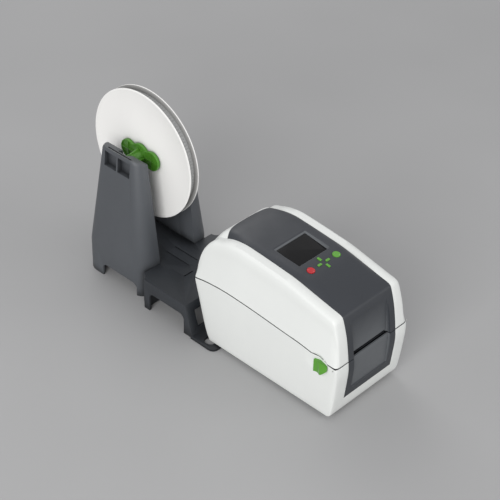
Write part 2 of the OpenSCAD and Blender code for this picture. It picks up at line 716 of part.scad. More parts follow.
// Upper cover
ledge_t = 1.8;
ledge_in = 5;
ledge_x = panel_x - ledge_in;
ledge_out = panel_x + wall;
ledge_over = 6;
catch_l = 5;
catch_h = 4;
module upper_cover() color(white) difference() {
    union() {
        both() intersection() {
            difference() {
                side_body(0, slab_shares, panel_x);
                side_body(wall, inner_shares, panel_x - over);
            }
            above_parting(part_gap);
        }
        difference() {
            roof_body(panel_x + slab_t);
            translate([0, -wall, -wall]) roof_body(panel_x + slab_t * 2);
            panel_zone(0);
            below_parting(part_gap);
        }
        intersection() {
            roof_skin(panel_x, panel_t + fit, ledge_t);
            panel_zone(ledge_over);
            difference() {
                span(ledge_x + over, -over, case_l, part_end_h, case_top);
                panel_zone(-ledge_over);
            }
        }
        difference() {
            across(-ledge_out, ledge_out) intersection() {
                side_2d(panel_t + fit);
                above_2d(part_gap);
                difference() {
                    side_poly([[-over, 0], [panel_back + ledge_over, 0],
                        [panel_back + ledge_over, case_top], [-over, case_top]]);
                    side_2d(panel_t + fit + ledge_t);
                }
            }
            span(ledge_x, -over, case_l, 0, case_top + over);
        }
        intersection() {
            both() dimple_pad(latch_pad_t);
            above_parting(part_gap);
        }
        both() slab(hook_x, half_w - wall / 2 - over, latch_back - hook_w * 1.1 - catch_gap - catch_l,
            latch_back - hook_w * 1.1 - catch_gap, latch_h + hook_h - nose_h - catch_h / 2,
            latch_h + hook_h - nose_h + catch_h / 2);
        rod(knuckle_r, -knuckle_x + knuckle_gap, knuckle_x - knuckle_gap, hinge_back, hinge_h);
    }
    both() dimple_ball(0);
    both() rod(knuckle_r + knuckle_gap, knuckle_x, knuckle_end + knuckle_gap, hinge_back, hinge_h);
    rod(hinge_d / 2 + running, -knuckle_x, knuckle_x, hinge_back, hinge_h);
}

// Frame of the console: its own plane through the given place, tilted towards the front
module on_console(b, z) translate([0, yb(b), z]) rotate([console_tilt, 0, 0]) children();
key_h = top_at(key_back);
display_h = 151.3;
display_deep = 1.2;
glass_t = 2;
module_t = 5;
module_edge = 2.5;
board_x1 = 27;
board_y0 = 13;
board_y1 = 10;
key_flange = 0.9;
key_flange_t = 0.8;
key_flange_low = 0.3;
key_board_low = 6.5;
tact_h = 1.2;
tact_w = 5;
dish_r = 9;
arrow_places = [[0, 1], [0, -1], [1, 0], [-1, 0]];

module arrow_2d(i, grow) offset(delta = grow) translate(arrow_places[i] * arrow_out)
    square(i < 2 ? [arrow_w, arrow_l] : [arrow_l, arrow_w], center = true);
module round_2d(s, grow) translate([s * key_spread / 2, 0]) circle(r = key_d / 2 + grow);

// A key cap with its flange under the panel; the child is its outline grown by an amount
module key_body(up) translate([0, 0, -panel_t - key_flange_low - key_flange_t])
    linear_extrude(panel_t + key_flange_low + key_flange_t + up) children();
module key_flange_body() translate([0, 0, -panel_t - key_flange_low - key_flange_t])
    linear_extrude(key_flange_t) children();
module arrow_key(i) color(green) on_console(key_back, key_h) {
    key_body(key_up) arrow_2d(i, -fit);
    key_flange_body() arrow_2d(i, key_flange - fit);
}
module round_key(s) on_console(key_back, key_h) difference() {
    union() {
        key_body(key_up) round_2d(s, -fit);
        key_flange_body() round_2d(s, key_flange);
    }
    translate([s * key_spread / 2, 0, dish_r - key_up]) sphere(r = dish_r);
}
module cancel_key() color(red) round_key(-1);
module confirm_key() color(green) round_key(1);
module up_key() arrow_key(0);
module down_key() arrow_key(1);
module right_key() arrow_key(2);
module left_key() arrow_key(3);

// Control panel from the rear of the top to the label exit
ramp_top_h = 125;
ramp_t = 5.5;
ramp_low_h = part_h + part_gap + exit_h;
panel_front = case_l * 0.0065;
ramp_b = case_l * 0.046;
post_r = 2;
post_x = 24.5;
post_y = 2.6;
roof_front = top_shares[0][0] * case_l + panel_t;
module control_panel() color(dark) difference() {
    union() {
        across(-panel_x + fit, panel_x - fit) intersection() {
            shell_2d(panel_t);
            above_2d(part_gap);
            side_poly([[-over, 0], [roof_front, 0], [roof_front, case_top + over], [-over, case_top + over]]);
        }
        intersection() {
            roof_skin(panel_x - fit, 0, panel_t);
            panel_zone(-fit);
        }
        intersection() {
            across(-ramp_x - panel_t, ramp_x + panel_t) intersection() {
                side_2d(panel_t / 2);
                side_poly([[0, ramp_low_h], [panel_front + ramp_t + panel_t, ramp_low_h],
                    [ramp_b + panel_t * 1.4, ramp_top_h + panel_t], [0, ramp_top_h + panel_t]]);
            }
            above_parting(part_gap);
        }
        on_console(key_back, key_h) for (x = [-post_x, post_x], y = [post_y - board_y0, board_y1 - post_y])
            translate([x, y, -key_board_low])
                cylinder(r = post_r, h = key_board_low - panel_t / 2, $fn = 16);
    }
    across(-ramp_x, ramp_x) side_poly([[-over, ramp_low_h - over], [panel_front + ramp_t, ramp_low_h - over],
        [ramp_b, ramp_top_h], [-over, ramp_top_h]]);
    span(exit_x, -over, platen_back, 0, ramp_low_h);
    on_console(display_back, display_h) translate([-display_w / 2, -display_l / 2, -module_t])
        cube([display_w, display_l, module_t * 2]);
    on_console(key_back, key_h) translate([0, 0, -module_t]) linear_extrude(module_t * 2) {
        for (s = [-1, 1]) round_2d(s, 0);
        for (i = [0:3]) arrow_2d(i, 0);
    }
}

module display_glass() color(black) on_console(display_back, display_h)
    translate([-display_w / 2 + fit, -display_l / 2 + fit, -display_deep - glass_t])
        cube([display_w - fit * 2, display_l - fit * 2, glass_t]);
module display_module() color(steel) on_console(display_back, display_h)
    translate([-display_w / 2 - module_edge, -display_l / 2 - module_edge,
        -display_deep - glass_t - running - module_t])
        cube([display_w + module_edge * 2, display_l + module_edge * 2, module_t]);
module console_board() on_console(key_back, key_h) translate([0, 0, -key_board_low]) {
    color(board_green) translate([-board_x1, -board_y0, -board_t])
        cube([board_x1 * 2, board_y0 + board_y1, board_t]);
    color(black) linear_extrude(tact_h) {
        for (s = [-1, 1]) translate([s * key_spread / 2, 0]) square(tact_w, center = true);
        for (p = arrow_places) translate(p * arrow_out) square(tact_w / 2, center = true);
    }
}

// Ribbon works in the cover
ribbon_gap = 3.5;
ribbon_x = cheek_x - ribbon_gap;
ribbon_t = 2.4;
ribbon_front = 30;
ribbon_rear = 134;
ribbon_low = 90;
beam_h = 136;
beam_b0 = 84;
beam_b1 = 132;
bar_h = 112;
bar_b0 = 30;
bar_b1 = 36;
supply_back = 112;
supply_h = 106;
takeup_back = 62;
takeup_h = 112;
spindle_r = 3;
core_r = 6;
core_gap = 3;
pivot_back = 46;
pivot_h = 94;
pivot_r = 2;
module ribbon_frame() color(mid_grey) difference() {
    union() {
        both() across(ribbon_x, ribbon_x + ribbon_t) intersection() {
            side_2d(panel_t + fit + ledge_t + running);
            side_poly([[ribbon_front, bar_h - ribbon_t * 2], [pivot_back - core_r, ribbon_low - ribbon_t],
                [ribbon_rear - core_r, ribbon_low], [ribbon_rear, ribbon_low + core_r],
                [ribbon_rear, case_top], [ribbon_front * 2, case_top], [ribbon_front, beam_h]]);
        }
        span(ribbon_x + over, beam_b0, beam_b1, beam_h, beam_h + ribbon_t);
        span(ribbon_x + over, bar_b0, bar_b1, bar_h, bar_h + ribbon_t);
    }
    both() rod(spindle_r + running, ribbon_x - over, ribbon_x + ribbon_t + over, supply_back, supply_h);
    both() rod(spindle_r + running, ribbon_x - over, ribbon_x + ribbon_t + over, takeup_back, takeup_h);
    both() rod(pivot_r + running, ribbon_x - over, ribbon_x + ribbon_t + over, pivot_back, pivot_h);
}

leaf_t = 0.8;
leaf_x = 13;
leaf_w = 7;
leaf_gap = 3;
bracket_h = 86.2;
bracket_t = 2;
leaf_low = bracket_h + bracket_t + leaf_gap;
module head_springs() color(steel) both() across(leaf_x, leaf_x + leaf_w) strip([
    [bar_b0 - bracket_t * 2, leaf_low], [bar_b0, leaf_low + leaf_t],
    [bar_b1, (bar_h + bracket_h) / 2 + bracket_t], [bar_b0 + bracket_t, bar_h - running]], leaf_t * 2);

ear_gap = 4.5;
ear_x = ribbon_x - ear_gap;
ear_t = 2;
ear_r = 4.5;
bracket_b0 = 13.5;
bracket_b1 = 30;
module head_bracket() color(steel) difference() {
    union() {
        across(-ear_x - ear_t / 2, ear_x + ear_t / 2) strip([[bracket_b0, bracket_h + bracket_t],
            [bracket_b1, bracket_h + bracket_t], [pivot_back, pivot_h]], bracket_t);
        both() across(ear_x, ear_x + ear_t) side_poly([
            [bracket_b1, bracket_h], [pivot_back, ribbon_low - ribbon_t], [pivot_back + ear_r, pivot_h],
            [pivot_back, pivot_h + ear_r], [bracket_b1, bracket_h + bracket_t * 2]]);
    }
    rod(pivot_r + running, -ribbon_x, ribbon_x, pivot_back, pivot_h);
}
head_gap = 0.3;
head_low = platen_h + platen_d / 2 + head_gap;
head_plate_t = 1.2;
fin_n = 3;
module thermal_head() {
    color(white) span(ear_x, bracket_b0 + head_plate_t, bracket_b0 + platen_d * 0.85, head_low,
        head_low + head_plate_t);
    color(steel) difference() {
        span(ear_x, bracket_b0, bracket_b0 + platen_d * 0.9, head_low + head_plate_t, bracket_h - running);
        for (i = [0:fin_n - 1]) translate([0, i * platen_d * 0.27, 0])
            span(ear_x + over, bracket_b0 + bracket_t, bracket_b0 + bracket_t * 2,
                head_low + head_plate_t * 2, case_top);
    }
}
module head_pin() color(steel)
    rod(pivot_r, -ribbon_x - ribbon_t, ribbon_x + ribbon_t, pivot_back, pivot_h);

module spindle(b, z) {
    rod(spindle_r, -ribbon_x - ribbon_t - over, ribbon_x + ribbon_t + over, b, z);
    rod(core_r, -ribbon_x + core_gap, ribbon_x - core_gap, b, z);
}
module wound_roll(d, b, z) difference() {
    rod(d / 2, -ribbon_x + core_gap * 2, ribbon_x - core_gap * 2, b, z);
    rod(core_r + running, -ribbon_x, ribbon_x, b, z);
}
module supply_spindle() color(mid_grey) spindle(supply_back, supply_h);
module ribbon_roll() color(black) wound_roll(supply_d, supply_back, supply_h);
module takeup_spindle() color(mid_grey) spindle(takeup_back, takeup_h);
module takeup_roll() color(black) wound_roll(takeup_d, takeup_back, takeup_h);

// Roll holder: places along the printer are given from the reel's axle, rearwards positive
function ya(d) = y_axle + d;
deck_x = deck_w / 2;
deck_front = -130.5;
bench_hole_y = -162.1;
ramp_foot = -142;
deck_rear = -52.3;
plate_front = -178;
plate_r = 8;
centre_rear = tower_foot_l / 2;
centre_x = tower_x - near;
shoulder_r = 9;
side_open_front = -128;
side_open_rear = -70;
side_open_h = 26;
open_r = 7;
cable_low = 9;
cable_top = 31;
cable_x0 = 12;
cable_x1 = 52;
groove_t = 0.8;
groove_w = 1.2;
groove_x = 7;
groove_front = -79;
groove_rear = -40;
slit_w = 1.6;
slit_x0 = 11.6;
slit_x1 = 25.6;
slit_y = -90.6;

// An opening with round upper corners, seen from the side
module open_2d(y0, y1, h) translate([ya(y0), -h]) offset(r = open_r) offset(delta = -open_r)
    square([y1 - y0, h * 2]);
module side_strip(pts) across(-deck_x, deck_x) polygon([for (p = pts) [ya(p[0]), p[1]]]);

module holder_base() color(dark) difference() {
    union() {
        difference() {
            side_strip([[ramp_foot, 0], [ramp_foot, plate_t], [deck_front, deck_h], [deck_rear, deck_h],
                [deck_rear, 0]]);
            both() translate([deck_x + holder_wall / 2, ya(deck_rear), -over])
                cylinder(r = shoulder_r, h = deck_h + over * 2);
            across(-deck_x + holder_wall, deck_x - holder_wall) polygon([
                [ya(ramp_foot + holder_wall), -over], [ya(ramp_foot + holder_wall), plate_t],
                [ya(deck_front + holder_wall), deck_h - holder_wall],
                [ya(deck_rear - shoulder_r - holder_wall), deck_h - holder_wall],
                [ya(deck_rear - shoulder_r - holder_wall), -over]]);
        }
        block([-centre_x, ya(deck_rear - over), 0], [centre_x, ya(centre_rear), deck_h]);
        translate([0, ya(plate_front), 0]) linear_extrude(plate_t) difference() {
            translate([-plate_w / 2, 0]) offset(r = plate_r) offset(delta = -plate_r)
                square([plate_w, (ramp_foot - plate_front) * 1.5]);
            translate([-plate_w, ramp_foot - plate_front + over]) square(plate_w * 2);
        }
    }
    block([-centre_x + holder_wall, ya(deck_rear - shoulder_r * 2), -over],
        [centre_x - holder_wall, ya(centre_rear - holder_wall), deck_h - holder_wall]);
    across(-case_w, case_w) open_2d(side_open_front, side_open_rear, side_open_h);
    both() translate([0, ya(deck_front), cable_low]) rotate([90, 0, 0])
        linear_extrude(deck_h) translate([cable_x0, 0]) offset(r = groove_w) offset(delta = -groove_w)
            square([cable_x1 - cable_x0, cable_top - cable_low]);
    for (x = [-bench_hole_gap / 2, bench_hole_gap / 2])
        translate([x, ya(bench_hole_y), -over]) cylinder(r = bench_hole_d / 2, h = plate_t + over * 2);
    both() {
        block([groove_x - groove_w / 2, ya(groove_front), deck_h - groove_t],
            [groove_x + groove_w / 2, ya(groove_rear), deck_h + over]);
        block([slit_x0, ya(slit_y), deck_h - holder_wall - over],
            [slit_x1, ya(slit_y + slit_w), deck_h + over]);
        tower_screw_holes(screw_shank_r + running);
    }
}

// Places of the screws that hold a tower, seen on the right side
screw_shank_r = 1.6;
tower_screw_h = 20;
tower_screw_out = 32;
module tower_screw_holes(r) for (d = [-tower_screw_out, tower_screw_out])
    translate([centre_x - holder_wall - over, ya(d), tower_screw_h]) rotate([0, 90, 0])
        cylinder(r = r, h = holder_wall * 3);

// Tower: plan rounded on the outside only
foot_r = 20;
top_r = 13;
top_soft = 6;
top_drop = 6.5;
notch_gap = 0.3;
journal_r = 7.6;
notch_end = 8;
leg_rear = 20;
leg_front = -38.5;
leg_open_h = 17.5;
pocket_low = 155;
pocket_top = 174;
pocket_l = 20;
pocket_web = 1.2;
pocket_t = 8;
top_slit_w = 2.4;
top_slit_l = 40;
module tower_plan(l, xo, r, inset) intersection() {
    translate([tower_x - foot_r * 2, ya(-l / 2)]) offset(delta = -inset) offset(r = r) offset(delta = -r)
        square([xo - tower_x + foot_r * 2, l]);
    translate([tower_x + inset, ya(-l)]) square(l * 2);
}
module tower_form(inset) hull() {
    translate([0, 0, -inset]) linear_extrude(deck_h + inset)
        tower_plan(tower_foot_l, tower_out / 2, foot_r, inset);
    translate([0, 0, tower_h - top_soft - inset]) linear_extrude(slab_t)
        tower_plan(tower_top_l + top_soft / 2, tower_top_out / 2 + inset / 4, top_r, inset);
    translate([0, 0, tower_h - inset - slab_t]) linear_extrude(slab_t)
        tower_plan(tower_top_l - top_soft, tower_top_out / 2, top_r, inset);
}
// Upper face of the tower, falling towards the reel
module tower_roof(drop) translate([0, ya(tower_foot_l), 0]) rotate([90, 0, 0])
    linear_extrude(tower_foot_l * 2) polygon([[0, tower_h - top_drop - drop - holder_wall * 0.6],
        [tower_x, tower_h - top_drop - drop], [tower_top_out / 2, tower_h - drop],
        [tower_out, tower_h - drop], [tower_out, tower_h * 1.2], [0, tower_h * 1.2]]);
module tower() color(mid_grey) difference() {
    tower_form(0);
    difference() {
        tower_form(holder_wall);
        tower_roof(holder_wall);
        pocket_box();
    }
    tower_roof(0);
    rod(journal_r + notch_gap, tower_x - over, tower_x + notch_end, axle_back, axle_h);
    block([tower_x - over, ya(-journal_r - notch_gap), axle_h],
        [tower_x + notch_end, ya(journal_r + notch_gap), tower_h + over]);
    for (d = [pocket_web, -pocket_web - pocket_l])
        block([tower_top_out / 2 - pocket_t + holder_wall, ya(d), pocket_low],
            [tower_out, ya(d + pocket_l), pocket_top]);
    block([tower_top_out / 2 - holder_wall - top_slit_w, ya(-top_slit_l / 2), tower_h - holder_wall * 1.6],
        [tower_top_out / 2 - holder_wall, ya(top_slit_l / 2), tower_h + over]);
    across(tower_out / 2 - foot_r, tower_out) open_2d(leg_front, leg_rear, leg_open_h);
    tower_screw_holes(screw_shank_r + running);
}
// Material left round the two pockets and the notch
module pocket_box() {
    block([tower_top_out / 2 - pocket_t, ya(-pocket_l - holder_wall), pocket_low - holder_wall],
        [tower_out, ya(pocket_l + holder_wall), tower_h]);
    block([tower_x, ya(-journal_r - holder_wall), axle_h - journal_r - holder_wall],
        [tower_x + notch_end + holder_wall, ya(journal_r + holder_wall), tower_h]);
}
module tower_right() tower();
module tower_left() mirror([1, 0, 0]) tower();

module tower_screws() color(steel) both() {
    intersection() {
        tower_screw_holes(screw_shank_r);
        block([0, ya(-centre_rear), 0], [tower_x + holder_wall - running, ya(centre_rear), deck_h]);
    }
    for (d = [-tower_screw_out, tower_screw_out])
        translate([centre_x - holder_wall - screw_head_h, ya(d), tower_screw_h]) rotate([0, 90, 0])
            cylinder(r = screw_head_r * 1.2, h = screw_head_h - running);
}

// Reel
journal_w = 4.4;
flange_x = reel_w / 2;
wound_x = flange_x - flange_t - fit;
module reel_axle() color(green) {
    rod(axle_d / 2, -tower_x - journal_w, tower_x + journal_w, axle_back, axle_h);
    both() rod(journal_r, tower_x + near, tower_x + journal_w, axle_back, axle_h);
}
module flange() color(white) difference() {
    rod(reel_r, flange_x - flange_t, flange_x, axle_back, axle_h, $fn = 120);
    rod(reel_bore / 2, 0, reel_w, axle_back, axle_h);
}
module flange_right() flange();
module flange_left() mirror([1, 0, 0]) flange();

// The outermost turn of the wound strip lies over a plain core of the turns below it
strip_t = 0.9;
strip_gap = 0.5;
tag_a = 3;
tag_n = 127;
tag_shares = [[0, 0.6], [0.12, 1], [0.78, 1], [0.9, 0.6]];
strip_rise = strip_t + strip_gap;
strip_r0 = wound_d / 2 - strip_t - strip_rise * tag_n * tag_a / 360;
function strip_in(a) = polar(strip_r0 + strip_rise * a / 360, a);
function strip_out(a, s) = polar(strip_r0 + strip_rise * a / 360 + strip_t * s, a);
strip_outer = [for (k = [0:tag_n - 1]) for (s = tag_shares) strip_out((k + s[0]) * tag_a, s[1])];
strip_inner = [for (k = [tag_n:-1:0]) strip_in(k * tag_a)];
lap_gap = min([for (p = [for (a = [0:0.5:tag_n * tag_a - 360]) strip_out(a, 1)])
    min([for (a = [360:0.5:tag_n * tag_a]) norm(p - strip_in(a))])]);
echo("least gap between two turns of the strip", lap_gap);
module strip_core() color(mid_grey) difference() {
    rod(strip_r0 - running, -wound_x, wound_x, axle_back, axle_h, $fn = 96);
    rod(reel_bore / 2, -reel_w, reel_w, axle_back, axle_h);
}
module strip_winding() color(mid_grey) across(-wound_x, wound_x) translate([y_axle, axle_h])
    polygon(concat(strip_outer, strip_inner));

// Hub with a finned cone on each side
hub_rim_r = 16;
hub_rim_t = 1.6;
cone_r0 = 10;
cone_r1 = 8;
sleeve_r = 6.6;
cone_end = 27.4;
cone_start = 12;
fin_t = 1.8;
module hub_spool() color(green) difference() {
    union() {
        rod(reel_bore / 2 - running, -flange_x, flange_x, axle_back, axle_h);
        rod(hub_rim_r, flange_x + running, flange_x + hub_rim_t, axle_back, axle_h);
        rod(sleeve_r, -cone_end, cone_end, axle_back, axle_h);
        both() across(0, fin_t / 2) translate([y_axle, axle_h]) circle(r = sleeve_r);
        both() for (q = [0:3]) translate([0, y_axle, axle_h]) rotate([q * 90, 0, 0])
            rotate([90, 0, 0]) translate([0, 0, -fin_t / 2]) linear_extrude(fin_t)
                polygon([[cone_start, 0], [cone_start, cone_r0], [cone_end - fin_t, cone_r1],
                    [cone_end, cone_r1 - fin_t], [cone_end, 0]]);
    }
    rod(axle_d / 2 + running, -cone_end - over, cone_end + over, axle_back, axle_h);
}

// Two-lobed wing that locks the reel on the hub
lobe_out = 19.5;
lobe_r = 12;
wing_r = 14.5;
wing_t = 2.2;
wing_rim_t = 1.4;
wing_rim_h = 1.6;
wing_x = -flange_x - near;
wing_neck = 10;
module wing_2d() union() {
    circle(r = wing_r);
    for (s = [-1, 1]) translate([s * lobe_out, 0]) circle(r = lobe_r);
    square([lobe_out * 2, wing_neck * 2], center = true);
}
module hub_wing() color(green) difference() {
    union() {
        across(wing_x - wing_t, wing_x) translate([y_axle, axle_h]) wing_2d();
        across(wing_x - wing_t - wing_rim_h, wing_x - wing_t) translate([y_axle, axle_h]) difference() {
            wing_2d();
            difference() {
                offset(delta = -wing_rim_t) wing_2d();
                circle(r = sleeve_r + wing_rim_t * 2);
                square([lobe_out * 3, wing_rim_t], center = true);
                for (s = [-1, 1]) translate([s * lobe_out, 0])
                    square([wing_rim_t, lobe_r * 2], center = true);
            }
        }
    }
    rod(sleeve_r + running, -cone_end, 0, axle_back, axle_h);
}

lower_case();
front_panel();
rear_panel();
rubber_feet();
main_board();
power_inlet();
power_switch();
usb_port();
network_port();
media_frame();
platen_bushes();
stepper_motor();
tear_bar();
label_sensor();
case_screws();
hinge_pin();
platen_roller();
platen_shaft();
platen_gear();
idler_gear();
motor_pinion();
guide_left();
guide_right();
latch_left();
latch_right();
upper_cover();
control_panel();
display_glass();
display_module();
console_board();
cancel_key();
confirm_key();
up_key();
down_key();
left_key();
right_key();
ribbon_frame();
head_springs();
head_bracket();
thermal_head();
head_pin();
supply_spindle();
ribbon_roll();
takeup_spindle();
takeup_roll();
holder_base();
tower_left();
tower_right();
tower_screws();
reel_axle();
flange_left();
flange_right();
strip_core();
strip_winding();
hub_spool();
hub_wing();
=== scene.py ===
import math

import bmesh
import bpy
from mathutils import Matrix, Vector


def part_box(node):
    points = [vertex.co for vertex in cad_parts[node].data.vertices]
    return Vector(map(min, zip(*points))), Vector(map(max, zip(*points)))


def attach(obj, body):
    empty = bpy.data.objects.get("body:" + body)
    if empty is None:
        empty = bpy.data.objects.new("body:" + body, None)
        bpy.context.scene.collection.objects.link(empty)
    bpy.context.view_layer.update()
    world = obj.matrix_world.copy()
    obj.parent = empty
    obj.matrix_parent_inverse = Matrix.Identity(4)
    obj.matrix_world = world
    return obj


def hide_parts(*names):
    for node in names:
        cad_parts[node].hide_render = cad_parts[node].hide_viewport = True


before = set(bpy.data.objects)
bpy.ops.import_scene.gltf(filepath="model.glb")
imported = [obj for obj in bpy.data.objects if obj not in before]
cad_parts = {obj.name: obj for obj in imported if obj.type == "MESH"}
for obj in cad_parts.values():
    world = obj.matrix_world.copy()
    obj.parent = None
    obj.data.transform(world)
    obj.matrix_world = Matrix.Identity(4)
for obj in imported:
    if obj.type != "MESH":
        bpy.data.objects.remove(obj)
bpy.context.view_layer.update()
scene = bpy.context.scene

# Camera, at the photograph's viewing angle
CAMERA_AT = (-0.983698, -0.951812, 1.112076)
CAMERA_AZIMUTH = -46.976
CAMERA_ELEVATION = 36.704
CAMERA_ROLL = 1.503
CAMERA_LENS = 107.29
CAMERA_SENSOR = 36

# The printer's case, in metres, partly read off the imported parts
case_lo, case_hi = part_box("lower_case")
panel_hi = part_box("control_panel")[1]
rear_lo, rear_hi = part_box("rear_panel")
reel_lo, reel_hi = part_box("flange_left")
FRONT = case_lo.y
HALF_W = case_hi.x
LOW = case_lo.z
TOP = panel_hi.z
CASE_L = 0.214
CASE_H = TOP - LOW
PART_H = 0.078
PART_RISE = 0.013
PART_GAP = 0.0007
CORNER_R = 0.0032
WALL = 0.0028
LIP = 0.0003
SEAM = 0.0015
# Inset and thickness of the black lip that stands in the seam for the shadow in the gap
BAND_IN = 0.00025
BAND_T = 0.0008
PANEL_FIT = 0.0002
PANEL_GAP = 0.0003
PANEL_EDGE = panel_hi.x + PANEL_FIT
PANEL_BACK = 0.193
PANEL_BOW = 0.011
PANEL_T = 0.0022
PANEL_LIP = 0.00035
FRONT_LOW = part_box("front_panel")[0].z - PANEL_FIT
REAR_EDGE = rear_hi.x + PANEL_FIT
REAR_LOW = rear_lo.z - PANEL_FIT
REAR_TOP = rear_hi.z + PANEL_FIT
EVERYWHERE = (0, CASE_L)
NEAR_FRONT = (0, CASE_L / 4)
NEAR_REAR = (CASE_L * 0.75, CASE_L)
UP = Vector((0, 0, 1))
SIDEWAYS = (1, 0, 0)

# Reel
AXLE = Vector((0, (reel_lo.y + reel_hi.y) / 2, (reel_lo.z + reel_hi.z) / 2))
REEL_R = (reel_hi.z - reel_lo.z) / 2
REEL_BORE = 0.01302
FLANGE_RIM = 0.0022
FLANGE_DISH = 0.00025
FLANGE_STEP_R = 0.0215
TAGS = 127
TAG_TURN = math.radians(3)
TAG_T = 0.0009
STRIP_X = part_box("strip_winding")[1].x
STRIP_RISE = 0.0014
STRIP_BASE_R = 0.0765 - TAG_T - STRIP_RISE * TAGS * TAG_TURN / (2 * math.pi)
STRIP_LAYERS = 14
STRIP_START_R = 0.0142

# The case's form as shares of its length, height and half width
SIDE_SHARES = [(0.055, 0), (0.036, 0.02), (0.018, 0.14), (0.0055, 0.3), (0, 0.41), (0.0065, 0.513),
    (0.028, 0.70), (0.0555, 0.83), (0.0612, 0.8475), (0.0726, 0.8587), (0.14, 0.879), (0.229, 0.905),
    (0.38, 0.948), (0.455, 0.959), (0.645, 0.981), (0.72, 0.985), (0.80, 0.968), (0.86, 0.937),
    (0.903, 0.912), (0.955, 0.825), (0.99, 0.69), (1, 0.533), (0.972, 0.34), (0.918, 0.06), (0.897, 0)]
# The roof's first and last point in that list, and the stretch that the control panel lies on
TOP_START = 9
TOP_END = 21
PANEL_SHARES = SIDE_SHARES[4:20]
# Middle line of the crowned roof, and the share of its crown left towards the dark panel's edges
TOP_SHARES = [(0.0726, 0.8587), (0.14, 0.891), (0.229, 0.9327), (0.30, 0.9587), (0.353, 0.968),
    (0.38, 0.9727), (0.455, 0.98), (0.645, 0.9955), (0.72, 1), (0.80, 0.997), (0.85, 0.985), (0.86, 0.981),
    (0.88, 0.971), (0.905, 0.947), (0.957, 0.845), (0.992, 0.7), (1, 0.533)]
CROWN_SHARES = [(0, 1), (0.45, 1), (0.68, 0.98), (0.8, 0.88), (0.89, 0.62), (0.96, 0.27), (1, 0)]
# Steps out to the side: shares of the half width, of the corner radius, of the height and of the depth
SLAB_SHARES = [(0.83, 0, 1, 1), (0.874, 0, 0.97, 1), (0.9, 0.02, 0.88, 1), (0.915, 0.05, 0.68, 1),
    (0.961, 0.2, 0.30, 0.96), (0.99, 0.5, 0.08, 0.6), (1, 1, 0.01, 0.02)]
PART_SHARES = [(0, 0), (0.06, 0.06), (0.2, 0.38), (0.25, 0.49), (0.39, 0.65), (0.53, 0.83),
    (0.67, 0.96), (0.775, 1), (0.85, 0.94), (0.925, 0.8), (1, 0.55)]

# Hinge, latches and their dimples
CHAMFER = 0.0003
KNUCKLE_R = 0.004
KNUCKLE_GAP = 0.0005
KNUCKLE_X = 0.020
KNUCKLE_END = 0.034
HINGE_B = CASE_L + 2 * KNUCKLE_R * 0.2
HINGE_H = PART_H + 0.55 * PART_RISE - PART_GAP / 2
HINGE_LOW = HINGE_H - KNUCKLE_R - KNUCKLE_GAP
HINGE_TOP = HINGE_H + KNUCKLE_R + KNUCKLE_GAP
HINGE_PIN_R = 0.00205
LATCH_B = 0.026
LATCH_H = 0.0735
LATCH_BORE = 0.0035
HOOK_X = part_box("latch_right")[0].x
HOOK_T = 0.0028
HOOK_R = 0.005
HOOK_W = 0.005
HOOK_H = 0.0125
NOSE_H = 0.003
CATCH_GAP = 0.0004
CATCH_L = 0.005
CATCH_T = 0.004
DIMPLE_R = 0.014
DIMPLE_T = 0.004
DIMPLE_BALL = (DIMPLE_R ** 2 + DIMPLE_T ** 2) / (2 * DIMPLE_T)
GRIP_B = LATCH_B - 0.013
GRIP_END = LATCH_B + 0.006
GRIP_UP = 0.0035
GRIP_DOWN = 0.013
GRIP_OUT = 0.0045
GRIP_NEAR = 0.0006
GRIP_GAP = 0.0004
GRIP_R = 0.002
GRIP_SCOOP = 0.0021

# Console
CONSOLE_TILT = math.radians(7)
KEY_B = 0.0755
KEY_R = 0.0048
KEY_X = 0.0205
KEY_FIT = 0.0002
KEY_TOP = 0.0006
KEY_LOW = -0.0035
KEY_FLANGE_TOP = -0.0027
KEY_DISH_R = 0.045
KEY_GROOVE = 0.00012
KEY_FLANGE = 0.0008
ARROW_FLANGE = 0.0009
WELL_DEEP = 0.004
POST_X = 0.0245
POST_Y = (-0.0104, 0.0074)
POST_R = 0.002
POST_ENDS = (-0.0065, -0.0012)
ARROW_L = 0.0058
ARROW_W = 0.0031
ARROW_OUT = 0.0064
ARROW_MARKS = [ARROW_W / 2, ARROW_OUT - ARROW_L / 2, ARROW_OUT + ARROW_L / 2]
WINDOW_B = 0.107
WINDOW_H = 0.1513
WINDOW_W = 0.046
WINDOW_L = 0.0335
WINDOW_DEEP = 0.0012
WINDOW_BEVEL = 0.0022
RAMP_X = 0.030
RAMP_SOFT = 0.0006
RAMP_TOP = 0.125
RAMP_LOW = 0.0813
RAMP_TOP_B = 0.00984
RAMP_LOW_B = 0.00689
EXIT_X = 0.0285
RECESS_LOW = 0.0365
RECESS_T = 0.0024
RECESS_RISE = 0.0012
RECESS_SOFT = 0.0008
RECESS_LEAN = 0.0006

# Bottom of the case
VENTS = 6
VENT_W = 0.0024
VENT_STEP = 0.007
VENT_B = (0.0833, 0.1093)
BOSS_X = 0.031
BOSS_B = (CASE_L * 0.33, CASE_L * 0.84)
BOSS_R = 0.004
BOSS_BORE = 0.00125
BOARD_H = 0.0138

# Brightness left by the painted shade in the hollows of the holder and the reel
HOLLOW_SHADE = 0.35


# Materials

